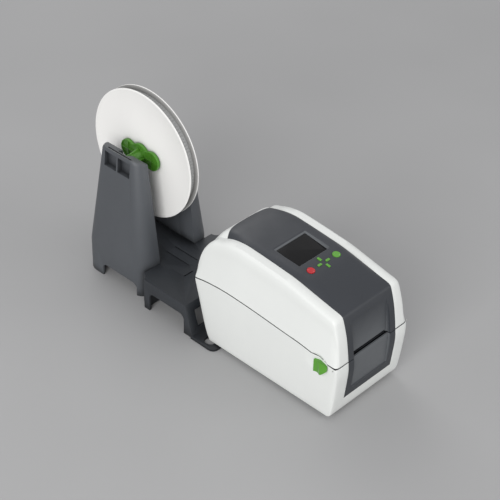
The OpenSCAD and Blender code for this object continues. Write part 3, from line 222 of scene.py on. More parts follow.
class Material:
    """A new material, with short ways to add nodes in front of its shader."""

    def __init__(self, name):
        self.data = bpy.data.materials.new(name)
        self.data.use_nodes = True
        self.nodes = self.data.node_tree.nodes
        self.shader = self.nodes["Principled BSDF"]
        self.place = self.nodes.new("ShaderNodeTexCoord").outputs["Object"]

    def feed(self, socket, value):
        """Sets a socket to a fixed value, or links another node's output to it."""
        if isinstance(value, bpy.types.NodeSocket):
            self.data.node_tree.links.new(value, socket)
        else:
            socket.default_value = value

    def wire(self, node, **inputs):
        """Feeds inputs of a node by their names, with underscores for spaces."""
        for name, value in inputs.items():
            self.feed(node.inputs[name.replace("_", " ")], value)
        return node

    def add(self, kind, **inputs):
        """A new node of that kind, with its inputs fed."""
        return self.wire(self.nodes.new(kind), **inputs)

    def look(self, **inputs):
        """Feeds inputs of the shader itself."""
        self.wire(self.shader, **inputs)

    def body(self):
        """The output that feeds the shader's colour so far."""
        return self.shader.inputs["Base Color"].links[0].from_socket

    def noise(self, scale, detail=4, stretch=(1, 1, 1)):
        """A noise texture's factor, with so many waves to a metre."""
        mapping = self.add("ShaderNodeMapping", Vector=self.place, Scale=stretch)
        texture = self.add("ShaderNodeTexNoise", Vector=mapping.outputs["Vector"], Scale=scale, Detail=detail)
        return texture.outputs["Fac"]

    def spread(self, value, low, high, start=0.3, end=0.7):
        """The value carried from the span start to end over to the span low to high."""
        node = self.add("ShaderNodeMapRange", Value=value, From_Min=start, From_Max=end)
        return self.wire(node, To_Min=low, To_Max=high).outputs["Result"]

    def mix(self, factor, first, second, blend="MIX"):
        """A mix of two colours, each a fixed colour or another node's output."""
        node = self.nodes.new("ShaderNodeMix")
        node.data_type = "RGBA"
        node.blend_type = blend
        return self.wire(node, Factor=factor, A=first, B=second).outputs["Result"]

    def mottled(self, value, first, second):
        """A mix of two colours by a noise texture's factor."""
        return self.mix(self.spread(value, 0, 1), first, second)

    def calc(self, operation, first, second=0):
        """One step of arithmetic on two values, each a number or another node's output."""
        node = self.nodes.new("ShaderNodeMath")
        node.operation = operation
        for socket, value in zip(node.inputs, (first, second)):
            self.feed(socket, value)
        return node.outputs["Value"]

    def bump(self, height, distance):
        """Raises the surface by the height, a factor, times the distance."""
        node = self.add("ShaderNodeBump", Height=height, Distance=distance)
        self.look(Normal=node.outputs["Normal"])


def srgb(red, green, blue):
    """A colour given as eight-bit numbers, as the linear colour that a shader takes."""
    parts = [c / 255 for c in (red, green, blue)]
    return tuple(c / 12.92 if c <= 0.04045 else ((c + 0.055) / 1.055) ** 2.4 for c in parts) + (1,)


def shaded(color, factor):
    """A colour made lighter or darker by a factor."""
    return tuple(min(1, c * factor) for c in color[:3]) + (1,)


def plastic(name, color, roughness, grain=1600, depth=0.00003, tint=0.03, edge_lightness=1.25, coat=0.0):
    """Moulded plastic: a fine spark-eroded grain, faint flow marks and convex edges a little lighter."""
    material = Material(name)
    flow = material.noise(22, 3, (1, 1, 0.45))
    body = material.mottled(flow, shaded(color, 1 - tint), shaded(color, 1 + tint))
    pointed = material.add("ShaderNodeNewGeometry").outputs["Pointiness"]
    edge = material.spread(pointed, 0, 0.5, 0.53, 0.62)
    hands = material.spread(material.noise(60, 5), roughness - 0.05, roughness + 0.06)
    material.look(Base_Color=material.mix(edge, body, shaded(color, edge_lightness)), Roughness=hands, IOR=1.49)
    material.look(Coat_Weight=coat, Coat_Roughness=0.12)
    material.bump(material.noise(grain, 2), depth)
    return material


def paint_hollow_shade(material, reach):
    """Paints shade into a material: darker in pockets and corners, where less light reaches, up to the reach
    from a wall.
    """
    hollow = material.add("ShaderNodeAmbientOcclusion", Distance=reach)
    hollow.samples = 8
    dim = (HOLLOW_SHADE, HOLLOW_SHADE, HOLLOW_SHADE, 1)
    shade_of = material.mix(material.spread(hollow.outputs["AO"], 0, 1, 0.45, 0.95), dim, (1, 1, 1, 1))
    material.look(Base_Color=material.mix(1, material.body(), shade_of, "MULTIPLY"))
    return material


def panel_plastic(name, color, painted_light_tone):
    """The dark panels' plastic, painted paler in the exit's recess and on the bevel round the window: painted
    light where those faces catch the light.
    """
    material = plastic(name, color, 0.44, 1400, 0.00004, 0.04, 1.3)
    calc, spread = material.calc, material.spread
    axes = material.add("ShaderNodeSeparateXYZ", Vector=material.place).outputs
    ramp_rear = FRONT + RAMP_TOP_B
    front = spread(calc("ABSOLUTE", axes["X"]), 1, 0, RAMP_X - 0.0004, RAMP_X)
    for limit in (spread(axes["Z"], 1, 0, RAMP_LOW, RAMP_TOP),
            spread(axes["Z"], 0, 1, RECESS_LOW + RECESS_RISE * 2 / 3, RECESS_LOW + RECESS_RISE),
            spread(axes["Y"], 1, 0, ramp_rear + 0.003, ramp_rear + 0.005)):
        front = calc("MULTIPLY", front, limit)
    window = material.nodes.new("ShaderNodeMapping")
    window.vector_type = "TEXTURE"
    material.wire(window, Vector=material.place, Location=(0, FRONT + WINDOW_B, WINDOW_H),
        Rotation=(CONSOLE_TILT, 0, 0))
    flat = material.add("ShaderNodeSeparateXYZ", Vector=window.outputs["Vector"]).outputs
    across = calc("SUBTRACT", calc("ABSOLUTE", flat["X"]), WINDOW_W / 2)
    along = calc("SUBTRACT", calc("ABSOLUTE", flat["Y"]), WINDOW_L / 2)
    rim = spread(calc("MAXIMUM", across, along), 1, 0, WINDOW_BEVEL - 0.0003, WINDOW_BEVEL)
    # Painted light: the exit's recess and the window's bevel are coloured paler, as if lit
    material.look(Base_Color=material.mix(calc("MAXIMUM", front, rim), material.body(), painted_light_tone))
    return material


def metal(name, color, roughness, stretch=(0.03, 1, 1)):
    """Drawn or brushed metal, with its grain along X unless stretched otherwise."""
    material = Material(name)
    grain = material.noise(3000, 3, stretch)
    material.look(Base_Color=material.mottled(grain, shaded(color, 0.86), shaded(color, 1.08)),
        Roughness=material.spread(grain, roughness - 0.06, roughness + 0.12), Metallic=1)
    material.bump(grain, 0.00001)
    return material


def rubber(name, color):
    """Matt rubber with a faint bloom and a ground surface."""
    material = Material(name)
    bloom = material.noise(150, 5)
    material.look(Base_Color=material.mottled(bloom, color, shaded(color, 1.8)),
        Roughness=material.spread(bloom, 0.62, 0.82))
    material.bump(material.noise(2600, 3), 0.00005)
    return material


def circuit(name, color):
    """Solder mask over rows of copper tracks and pads."""
    material = Material(name)
    tracks = material.add("ShaderNodeTexBrick", Vector=material.place, Scale=420, Mortar_Size=0.03,
        Brick_Width=1.7, Row_Height=0.5, Color1=color, Color2=shaded(color, 0.8), Mortar=shaded(color, 1.7))
    material.look(Base_Color=tracks.outputs["Color"],
        Roughness=material.spread(material.noise(90), 0.28, 0.42))
    material.bump(tracks.outputs["Fac"], 0.00003)
    return material


def wound_film(name, color):
    """The edge and face of a tightly wound film: fine turns and a slight sheen."""
    material = Material(name)
    turns = material.noise(900, 3, (6, 0.4, 0.4))
    material.look(Base_Color=material.mottled(turns, color, shaded(color, 2.2)),
        Roughness=material.spread(turns, 0.2, 0.38))
    material.bump(turns, 0.00002)
    return material


def screen_glass(name, color):
    """Dark display cover with faint smears in its gloss."""
    material = Material(name)
    smear = material.noise(70, 6, (1, 0.35, 1))
    material.look(Base_Color=material.mottled(smear, color, shaded(color, 1.25)),
        Roughness=material.spread(smear, 0.1, 0.22), Specular_IOR_Level=0.3)
    return material


WHITE = plastic("white_shell", srgb(226, 228, 225), 0.42, 1500, 0.00003, 0.012, 1.02)
# Its paler second tone is painted light on the exit's recess and the window's bevel
DARK = panel_plastic("dark_panel", srgb(50, 53, 58), srgb(92, 95, 98))
BLACK = plastic("black_plastic", srgb(40, 40, 42), 0.4, 1400, 0.00003)
GREY = plastic("grey_plastic", srgb(108, 112, 117), 0.45, 1300, 0.00004)
GEAR = plastic("gear_white", srgb(222, 219, 208), 0.38, 900, 0.00001, 0.02, 1.0)
GREEN = plastic("lever_green", srgb(84, 150, 44), 0.3, 1100, 0.00001, 0.03, 1.12, 0.25)
RED_KEY = plastic("key_red", srgb(182, 28, 36), 0.3, 900, 0.00001, 0.03, 1.1, 0.3)
GREEN_KEY = plastic("key_green", srgb(90, 154, 50), 0.3, 900, 0.00001, 0.03, 1.1, 0.3)
# The holder's and the reel's materials carry painted shade in their hollows
HOLDER_DARK = paint_hollow_shade(plastic("holder_dark", srgb(46, 49, 53), 0.46, 1200, 0.00005, 0.05, 1.35), 0.02)
HOLDER_GREY = paint_hollow_shade(plastic("holder_grey", srgb(79, 82, 86), 0.46, 1200, 0.00005, 0.04, 1.3), 0.012)
REEL_WHITE = paint_hollow_shade(plastic("reel_white", srgb(244, 243, 240), 0.4, 1200, 0.00002, 0.01, 1.0), 0.02)
STRIP = plastic("strip_grey", srgb(172, 173, 172), 0.34, 1600, 0.00002, 0.05, 1.1)
HUB = plastic("hub_green", srgb(78, 136, 42), 0.34, 1000, 0.00002, 0.04, 1.2, 0.15)
RUBBER = rubber("rubber_black", srgb(38, 38, 40))
STEEL = metal("steel", srgb(196, 198, 202), 0.3)
DARK_STEEL = metal("dark_steel", srgb(58, 60, 64), 0.42)
HEAD = metal("head_metal", srgb(206, 206, 210), 0.36, (1, 0.05, 1))
BOARD = circuit("board_green", srgb(28, 92, 48))
FILM = wound_film("ribbon_black", srgb(26, 26, 30))
SCREEN = screen_glass("display_black", srgb(10, 10, 11))


# Mesh tools

def curve_through(points, step):
    """A smooth line through the points, with about one point to each step and all the given ones in it."""
    given = [Vector(p) for p in points]
    given = [2 * given[0] - given[1]] + given + [2 * given[-1] - given[-2]]
    line = []
    for p0, p1, p2, p3 in zip(given, given[1:], given[2:], given[3:]):
        k1 = (p1 - p0).length ** 0.5
        k2 = k1 + (p2 - p1).length ** 0.5
        k3 = k2 + (p3 - p2).length ** 0.5
        count = max(1, round((p2 - p1).length / step))
        for i in range(count):
            t = k1 + (k2 - k1) * i / count
            a1 = p0 + (p1 - p0) * (t / k1)
            a2 = p1 + (p2 - p1) * ((t - k1) / (k2 - k1))
            a3 = p2 + (p3 - p2) * ((t - k2) / (k3 - k2))
            b1 = a1 + (a2 - a1) * (t / k2)
            b2 = a2 + (a3 - a2) * ((t - k1) / (k3 - k1))
            line.append(b1 + (b2 - b1) * ((t - k1) / (k2 - k1)))
    line.append(given[-2])
    return line


def with_crossings(line, axis, values, near=EVERYWHERE):
    """The line with a point wherever it crosses one of the values, within the span near of the first axis."""
    for value in values:
        made = [line[0]]
        for a, b in zip(line, line[1:]):
            crosses = (a[axis] - value) * (b[axis] - value) < 0
            if crosses and near[0] <= a[0] <= near[1]:
                made.append(a + (b - a) * ((value - a[axis]) / (b[axis] - a[axis])))
            made.append(b)
        line = made
    return line


def lookup(value, line):
    """The height of a line of (place, height) at a place."""
    for a, b in zip(line, line[1:]):
        if value <= b[0]:
            return a[1] + (b[1] - a[1]) * max(0.0, value - a[0]) / (b[0] - a[0])
    return line[-1][1]


def smooth_step(value):
    """A soft step from 0 to 1 over the values from 0 to 1."""
    value = min(1.0, max(0.0, value))
    return value * value * (3 - 2 * value)


def grid(bm, rows, closed=False):
    """Faces between rows of points, each row as long as the next."""
    made = [[bm.verts.new(p) for p in row] for row in rows]
    count = len(made[0])
    for low, high in zip(made, made[1:]):
        for i in range(count if closed else count - 1):
            j = (i + 1) % count
            bm.faces.new((low[i], low[j], high[j], high[i]))
    return made


def solid(bm, rings):
    """A closed solid: each ring of points is joined to the next, and the ends are filled."""
    made = grid(bm, rings, closed=True)
    bm.faces.new(reversed(made[0]))
    bm.faces.new(made[-1])
    return made


def snap_cut(bm, field, drop=True):
    """Moves the nearest points onto the line where the field is zero, and drops the faces below zero."""
    value = {v: field(v.co) for v in bm.verts}
    moves = {}
    for e in bm.edges:
        a, b = e.verts
        if value[a] * value[b] < 0:
            share = value[a] / (value[a] - value[b])
            v, far = (a, share) if share < 0.5 else (b, 1 - share)
            if v not in moves or far < moves[v][0]:
                moves[v] = (far, a.co.lerp(b.co, share))
    for v, (far, place) in moves.items():
        v.co = place
        value[v] = 0
    for f in list(bm.faces):
        on = [v for v in f.verts if value[v] == 0]
        signs = {value[v] > 0 for v in f.verts if value[v] != 0}
        if len(on) == 2 and len(signs) == 2:
            bmesh.utils.face_split(f, on[0], on[1])
    if drop:
        out = [f for f in bm.faces if any(value[v] < 0 for v in f.verts)]
        bmesh.ops.delete(bm, geom=out, context="FACES")
    return value


def drop_faces(bm, inside):
    """Takes away the faces whose middle is inside."""
    out = [f for f in bm.faces if inside(f.calc_center_median())]
    bmesh.ops.delete(bm, geom=out, context="FACES")


def rounded_wall(bm, thickness, lip):
    """Turns an open skin, its faces outwards, into a wall of that thickness with a rounded edge all round."""
    bm.normal_update()
    skin = list(bm.verts)
    faces = list(bm.faces)
    rim = [e for e in bm.edges if e.is_boundary]
    normal = {v: v.normal.copy() for v in skin}
    away = {}
    for e in rim:
        a, b = e.verts
        f = e.link_faces[0]
        side = (b.co - a.co).cross(f.normal)
        if side.dot((a.co + b.co) / 2 - f.calc_center_median()) < 0:
            side = -side
        for v in (a, b):
            away[v] = away.get(v, Vector()) + side.normalized()
    inner = {v: bm.verts.new(v.co - normal[v] * thickness) for v in skin}
    rings = {}
    for v, side in away.items():
        n = normal[v]
        side = (side - n * side.dot(n)).normalized()
        centre = v.co - side * lip - n * lip
        v.co = centre + n * lip
        turns = [math.radians(a) for a in (30, 60, 90)]
        ring = [bm.verts.new(centre + (n * math.cos(a) + side * math.sin(a)) * lip) for a in turns]
        rings[v] = [v] + ring + [inner[v]]
    for f in faces:
        bm.faces.new([inner[v] for v in reversed(f.verts)])
    for e in rim:
        a, b = (rings[v] for v in e.verts)
        for i in range(len(a) - 1):
            bm.faces.new((a[i], b[i], b[i + 1], a[i + 1]))
    bmesh.ops.recalc_face_normals(bm, faces=bm.faces)


def turned(bm, centre, axis, profile, count):
    """A solid turned round an axis through the centre, from a profile of (place along it, radius)."""
    axis = Vector(axis).normalized()
    side = axis.orthogonal().normalized()
    across = axis.cross(side)
    rings = []
    for along, radius in profile:
        rings.append([centre + axis * along + (side * math.cos(a) + across * math.sin(a)) * radius
            for a in (2 * math.pi * i / count for i in range(count))])
    made = grid(bm, rings, closed=True) if profile[0] == profile[-1] else solid(bm, rings)
    bmesh.ops.remove_doubles(bm, verts=[v for ring in made for v in ring], dist=1e-7)


def rod(bm, centre, axis, ends, radius):
    """A round rod with chamfered ends."""
    a, b = ends
    end_r = radius - CHAMFER
    turned(bm, centre, axis, [(a, end_r), (a + CHAMFER, radius), (b - CHAMFER, radius), (b, end_r)], 32)


def tube(bm, centre, axis, ends, outer, inner):
    """A round tube with chamfered ends."""
    a, b = ends
    end_r = outer - CHAMFER
    turned(bm, centre, axis, [(a, inner), (a, end_r), (a + CHAMFER, outer), (b - CHAMFER, outer),
        (b, end_r), (b, inner), (a, inner)], 40)


def prism(bm, outline, ends):
    """A side outline of (distance behind the front, height) carried across between two x places."""
    solid(bm, [[at(x, b, z) for b, z in outline] for x in ends])


def block(bm, ends, behind, heights):
    """A box between two x places, two distances behind the front and two heights."""
    (b0, b1), (z0, z1) = behind, heights
    prism(bm, [(b0, z0), (b1, z0), (b1, z1), (b0, z1)], ends)


def round_box(width, length, radius):
    """A rectangle with round corners about the origin, as a list of points."""
    count = 4
    points = []
    corners = ((1, 1, 0), (-1, 1, 90), (-1, -1, 180), (1, -1, 270))
    for sx, sy, start in corners:
        for i in range(count + 1):
            a = math.radians(start + 90 * i / count)
            points.append((sx * (width / 2 - radius) + radius * math.cos(a),
                sy * (length / 2 - radius) + radius * math.sin(a)))
    return points


def stack(bm, plane, centre, width, length, levels):
    """A solid of round-cornered rectangles out of a plane, at levels of (height, growth, corner radius)."""
    x, y = centre
    rings = []
    for height, grow, radius in levels:
        outline = round_box(width + 2 * grow, length + 2 * grow, radius)
        rings.append([plane @ Vector((x + u, y + v, height)) for u, v in outline])
    solid(bm, rings)


def new_object(name, data):
    """A new object in the scene."""
    obj = bpy.data.objects.new(name, data)
    scene.collection.objects.link(obj)
    return obj


def mesh_object(name, bm, material):
    """A new object of the mesh, all in one material."""
    mesh = bpy.data.meshes.new(name)
    bm.to_mesh(mesh)
    bm.free()
    mesh.materials.append(material.data)
    return new_object(name, mesh)


def bevel(obj, width, segments, angle=32):
    """Rounds an object's edges sharper than the angle, to a small width."""
    modifier = obj.modifiers.new("soft_edges", "BEVEL")
    modifier.width = width
    modifier.segments = segments
    modifier.limit_method = "ANGLE"
    modifier.angle_limit = math.radians(angle)
    modifier.harden_normals = True
    modifier.miter_outer = "MITER_ARC"


def piece(name, bm, material, body, replaced=(), angle=35):
    """Makes an object of the mesh, which rides on the body and stands for the CAD nodes named."""
    bmesh.ops.recalc_face_normals(bm, faces=bm.faces)
    obj = mesh_object(name, bm, material)
    obj.data.shade_smooth()
    obj.data.set_sharp_from_angle(angle=math.radians(angle))
    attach(obj, body)
    if replaced:
        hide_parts(*replaced)
    return obj


def dress(node, material, width=0.0004, segments=2):
    """Gives a CAD node its material, and its edges a small radius."""
    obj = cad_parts[node]
    mesh = obj.data
    mesh.normals_split_custom_set([(0, 0, 0)] * len(mesh.loops))
    mesh.materials.clear()
    mesh.materials.append(material.data)
    mesh.shade_smooth()
    weld = obj.modifiers.new("weld", "WELD")
    weld.merge_threshold = 1e-6
    flat = obj.modifiers.new("flat_faces", "DECIMATE")
    flat.decimate_type = "DISSOLVE"
    flat.angle_limit = math.radians(0.5)
    bevel(obj, width, segments)


# The printer's case

def case_line(shares, step):
    """A smooth line through points given as shares of the case's length and height."""
    return curve_through([(b * CASE_L, LOW + z * CASE_H) for b, z in shares], step)


side_line = case_line(SIDE_SHARES, 0.002)
top_line = case_line(TOP_SHARES, 0.003)
part_line = curve_through([(b * CASE_L, PART_H + z * PART_RISE) for b, z in PART_SHARES], 0.004)
crown_line = curve_through(CROWN_SHARES, 0.02)
REAR_H = LOW + SIDE_SHARES[TOP_END][1] * CASE_H
PANEL_ARC = (PANEL_EDGE ** 2 + PANEL_BOW ** 2) / (2 * PANEL_BOW)


def part_at(b):
    """Height of the parting line at a distance behind the front."""
    return lookup(b, part_line)


def top_at(b):
    """Height of the roof's middle at a distance behind the front."""
    return lookup(b, top_line)


def on_roof(x, place):
    """A place of the side outline, raised by the crown of the roof at that x."""
    roof = place[0] >= SIDE_SHARES[TOP_START][0] * CASE_L and place[1] > REAR_H
    if not roof or abs(x) >= PANEL_EDGE:
        return place[1]
    crown = max(0.0, top_at(place[0]) - place[1]) if place[0] < CASE_L else 0.0
    return place[1] + crown * lookup(abs(x) / PANEL_EDGE, crown_line)


def panel_reach(p):
    """Distance of a point behind the control panel's bowed rear edge, negative in front of it."""
    middle = PANEL_BACK - PANEL_ARC
    b = dist_back(p)
    return math.hypot(p.x, b - middle) - PANEL_ARC if b > middle else -PANEL_ARC


def at(x, b, z):
    """A point given by its distance behind the front."""
    return Vector((x, FRONT + b, z))


def vent_edges():
    """Half of the x places of the vents' edges."""
    places = [(i + 0.5) * VENT_STEP for i in range(VENTS // 2)]
    return [x + side * VENT_W / 2 for x in places for side in (-1, 1)]


def case_columns():
    """The closed outline of the side, with points where openings start and end."""
    line = with_crossings(side_line, 1, (FRONT_LOW, PART_H), NEAR_FRONT)
    line = with_crossings(line, 1, (REAR_LOW, REAR_TOP, HINGE_LOW, HINGE_TOP), NEAR_REAR)
    line = with_crossings(line, 0, [PANEL_BACK - PANEL_BOW])
    steps = 16
    bottom = [line[-1].lerp(line[0], i / steps) for i in range(steps + 1)]
    return line + with_crossings(bottom, 0, VENT_B)[1:-1]


def case_rows():
    """Each row's x, end inset, height share and depth share on the right side, from the middle outwards."""
    up = TOP - PART_H
    down = PART_H - LOW
    given = [(x * HALF_W, k * up, c * CORNER_R, d * down) for x, c, k, d in SLAB_SHARES]
    mirrored = [(x, -h, c, -d) for x, h, c, d in reversed(given)]
    outer = [p for p in curve_through(given + mirrored, 0.0025) if p.y > 0 and p.w > 0]
    crown = [PANEL_EDGE * s for s in (0.6, 0.68, 0.76, 0.83, 0.93, 0.965)]
    flat = sorted(vent_edges() + crown + [KNUCKLE_X, KNUCKLE_END + KNUCKLE_GAP, PANEL_EDGE, REAR_EDGE])
    rows = [(x, 0, 1, 1) for x in flat]
    return rows + [(p.x, p.z, p.y / up, p.w / down) for p in outer]


def case_point(row, place):
    """A point of the case's skin on a row, from its place on the side outline."""
    x, inset, up, down = row
    b = inset + place[0] * (1 - 2 * inset / CASE_L)
    z = on_roof(x, place)
    widest = part_at(b)
    return at(x, b, widest + (up if z > widest else down) * (z - widest))


def close_end(bm, ring, above):
    """Closes the flat loop at the widest part, with its upper side against its lower side."""
    upper = [v for v, up in zip(ring, above) if up]
    quarter = math.ceil(len(above) / 4)
    order = [*reversed(range(quarter)), *reversed(range(quarter, len(above)))]
    lower = [ring[i] for i in order if not above[i]]
    i = j = 0
    while i < len(upper) - 1 or j < len(lower) - 1:
        if j == len(lower) - 1 or (i < len(upper) - 1 and upper[i + 1].co.y < lower[j + 1].co.y):
            bm.faces.new((upper[i], upper[i + 1], lower[j]))
            i += 1
        else:
            bm.faces.new((lower[j], upper[i], lower[j + 1]))
            j += 1


def dimple(bm):
    """Presses the round finger dimples into both sides."""
    for side in (-1, 1):
        centre = at(side * (HALF_W - DIMPLE_T + DIMPLE_BALL), LATCH_B, LATCH_H)
        value = snap_cut(bm, lambda p: (p - centre).length - DIMPLE_BALL, drop=False)
        for v, depth in value.items():
            if depth < 0:
                across = DIMPLE_BALL ** 2 - (v.co.y - centre.y) ** 2 - (v.co.z - centre.z) ** 2
                v.co.x = centre.x - side * math.sqrt(across)
        snap_cut(bm, lambda p: 1.0 if p.x * side < 0 else
            math.hypot(p.y - centre.y, p.z - centre.z) - LATCH_BORE)


def case_skin():
    """The whole outer skin of the case as one closed surface."""
    bm = bmesh.new()
    columns = case_columns()
    right = case_rows()
    rows = [(-row[0],) + row[1:] for row in reversed(right)] + right
    made = grid(bm, [[case_point(row, p) for p in columns] for row in rows], closed=True)
    above = [p[1] > part_at(p[0]) for p in columns]
    for ring in (made[0], made[-1]):
        close_end(bm, ring, above)
    bmesh.ops.remove_doubles(bm, verts=bm.verts, dist=2e-6)
    bmesh.ops.recalc_face_normals(bm, faces=bm.faces)
    dimple(bm)
    return bm


def dist_back(p):
    """Distance of a point behind the printer's front."""
    return p.y - FRONT


def hood_shell():
    """The white upper cover: everything above the parting line, open where the dark panel lies."""
    bm = case_skin()
    snap_cut(bm, lambda p: p.z - part_at(dist_back(p)) - SEAM)

    def outside_panel(p):
        if abs(p.x) > PANEL_EDGE + 1e-6:
            return 1.0
        reach = panel_reach(p)
        return 0.0 if reach < 0 and abs(p.x) > PANEL_EDGE - 1e-6 else reach

    snap_cut(bm, outside_panel)
    drop_faces(bm, lambda p: KNUCKLE_X < abs(p.x) < KNUCKLE_END + KNUCKLE_GAP and dist_back(p) > PANEL_BACK
        and p.z < HINGE_TOP)
    rounded_wall(bm, WALL, LIP)
    piece("cover_shell", bm, WHITE, "cover", ["upper_cover"])


def case_shell():
    """The white lower case, open at the front panel, the rear panel, the hinge and the vents."""
    bm = case_skin()
    snap_cut(bm, lambda p: part_at(dist_back(p)) - p.z)
    front_end = 0.02
    rear_start = CASE_L * 0.85
    drop_faces(bm, lambda p: abs(p.x) < PANEL_EDGE and dist_back(p) < front_end and p.z > FRONT_LOW)
    drop_faces(bm, lambda p: abs(p.x) < REAR_EDGE and dist_back(p) > rear_start and REAR_LOW < p.z < REAR_TOP)
    drop_faces(bm, lambda p: abs(p.x) < KNUCKLE_X and dist_back(p) > rear_start and p.z > HINGE_LOW)
    edges = vent_edges()
    vents = list(zip(edges[::2], edges[1::2]))
    drop_faces(bm, lambda p: p.z < LOW + WALL and VENT_B[0] < dist_back(p) < VENT_B[1]
        and any(a < abs(p.x) < b for a, b in vents))
    rounded_wall(bm, WALL, LIP)
    piece("lower_shell", bm, WHITE, "base", ["lower_case"])


def seam_shadow_band():
    """The lower case's inner lip along its rim, made black as painted shade: it stands for the shadow in the
    gap between the two white shells.
    """
    bm = case_skin()
    snap_cut(bm, lambda p: part_at(dist_back(p)) - p.z)
    bm.normal_update()
    rim = [e for e in bm.edges if e.is_boundary and all(abs(v.co.x) > PANEL_EDGE - 1e-6 for v in e.verts)
        and all(abs(v.co.z - part_at(dist_back(v.co))) < 4e-4 for v in e.verts)]
    made = bmesh.new()
    rings = {}
    for v in {v for e in rim for v in e.verts}:
        flat = Vector((v.normal.x, v.normal.y, 0)).normalized()
        low, high = v.co - UP * BAND_T, v.co + UP * (SEAM - LIP / 3)
        corners = [low - flat * BAND_IN, high - flat * BAND_IN]
        corners += [high - flat * (BAND_IN + BAND_T), low - flat * (BAND_IN + BAND_T)]
        rings[v] = [made.verts.new(c) for c in corners]
    for e in rim:
        a, b = (rings[v] for v in e.verts)
        for i in range(4):
            made.faces.new((a[i], b[i], b[(i + 1) % 4], a[(i + 1) % 4]))
    bmesh.ops.holes_fill(made, edges=[e for e in made.edges if e.is_boundary], sides=4)
    bm.free()
    piece("seam_shadow_lip", made, BLACK, "base")


def hinge_knuckle(bm, x0, x1, root):
    """A hinge knuckle with the lug that carries it; root is the height at which the lug starts."""
    tube(bm, at(0, HINGE_B, HINGE_H), SIDEWAYS, (x0, x1), KNUCKLE_R, HINGE_PIN_R)
    behind = (CASE_L - WALL * 0.6, HINGE_B - HINGE_PIN_R * 1.1)
    block(bm, (x0, x1), behind, sorted((root, HINGE_H)))


def case_fittings():
    """Knuckles, bearings of the latches and screw bosses of the lower case."""
    bm = bmesh.new()
    for side in (-1, 1):
        x0, x1 = sorted((side * (KNUCKLE_X + KNUCKLE_GAP), side * KNUCKLE_END))
        hinge_knuckle(bm, x0, x1, HINGE_H - 2 * KNUCKLE_R)
        for b in BOSS_B:
            tube(bm, at(side * BOSS_X, b, 0), UP, (LOW + WALL / 2, BOARD_H), BOSS_R, BOSS_BORE)
        ends = sorted((side * (HALF_W - DIMPLE_T - WALL), side * (HALF_W - DIMPLE_T)))
        tube(bm, at(0, LATCH_B, LATCH_H), SIDEWAYS, ends, LATCH_BORE * 2, LATCH_BORE + 0.0001)
    piece("case_fittings", bm, WHITE, "base")


def strip_wall(bm, x0, x1, line, deep, thickness):
    """A flat strip under the skin: a part of the side line carried from x0 to x1, set inwards."""
    rings = []
    for i, p in enumerate(line):
        a, b = line[max(0, i - 1)], line[min(len(line) - 1, i + 1)]
        along = (b - a).normalized()
        inwards = Vector((along.y, -along.x))
        near, far = p + inwards * deep, p + inwards * (deep + thickness)
        rings.append([at(x, q.x, q.y) for x, q in ((x0, near), (x1, near), (x1, far), (x0, far))])
    solid(bm, rings)


def hood_fittings():
    """Ledges under the dark panel, catches for the latches and the middle knuckle of the cover."""
    bm = bmesh.new()
    ledge_x = (PANEL_EDGE - 0.005, PANEL_EDGE + 0.003)
    ledge_t = 0.0018
    ledge_gap = 0.0004
    line = [p for p in side_line if p.x <= PANEL_BACK + 0.003 and p.y >= PART_H + 0.004]
    catch_b = LATCH_B - HOOK_W * 1.1 - CATCH_GAP
    catch_h = LATCH_H + HOOK_H - NOSE_H
    for side in (-1, 1):
        x0, x1 = sorted(side * x for x in ledge_x)
        strip_wall(bm, x0, x1, line, PANEL_T + ledge_gap, ledge_t)
        ends = sorted((side * HOOK_X, side * (HALF_W - WALL / 2)))
        block(bm, ends, (catch_b - CATCH_L, catch_b), (catch_h - CATCH_T / 2, catch_h + CATCH_T / 2))
    hinge_knuckle(bm, -KNUCKLE_X + KNUCKLE_GAP, KNUCKLE_X - KNUCKLE_GAP, HINGE_H + 2 * KNUCKLE_R)
    piece("cover_fittings", bm, WHITE, "cover")


# Dark panels

def on_console(b, z):
    """The console's own plane through a place: x to the right, y to the rear, z out of it."""
    return Matrix.Translation(at(0, b, z)) @ Matrix.Rotation(CONSOLE_TILT, 4, "X")


def key_plane():
    """The console's plane with its origin between the keys."""
    return on_console(KEY_B, top_at(KEY_B))


def panel_rows():
    """The x places of the control panel's grid."""
    marks = ARROW_MARKS + [WINDOW_W / 2, WINDOW_W / 2 + WINDOW_BEVEL, EXIT_X, PANEL_EDGE - PANEL_FIT]
    marks += [RAMP_X + RAMP_SOFT * share for share in (-1, -0.7, -0.4, 0, 0.3)]
    marks += [KEY_X + KEY_R * i / 5 for i in range(-6, 7)]
    marks += [0.0115, 0.0132, 0.0315, 0.033, 0.0345, 0.036, 0.0372, 0.0381]
    closest = 0.00014
    kept = []
    for x in sorted(marks):
        if not kept or x - kept[-1] > closest:
            kept.append(x)
        elif x in (WINDOW_W / 2, EXIT_X):
            kept[-1] = x
    return [-x for x in reversed(kept)] + kept


def panel_columns():
    """The part of the side line that the control panel covers, from the exit to its rear end."""
    low = PART_H + PART_GAP
    line = with_crossings(case_line(PANEL_SHARES, 0.0012), 1, (low, RAMP_LOW))
    cos = math.cos(CONSOLE_TILT)
    marks = [WINDOW_B + side * (WINDOW_L / 2 + edge) * cos for side in (-1, 1) for edge in (0, WINDOW_BEVEL)]
    marks += [KEY_B + side * mark * cos for side in (-1, 1) for mark in ARROW_MARKS]
    line = with_crossings(line, 0, marks + [PANEL_BACK - PANEL_FIT])
    return [p for p in line if p.y >= low - 1e-7 and p.x <= PANEL_BACK - PANEL_FIT + 1e-7]


def ramp_depth(p):
    """How far the recess above the label exit goes behind the panel's face."""
    wall_b = RAMP_LOW_B + (RAMP_TOP_B - RAMP_LOW_B) * (p.z - RAMP_LOW) / (RAMP_TOP - RAMP_LOW)
    return max(0.0, wall_b - dist_back(p)) if p.z < RAMP_TOP else 0.0


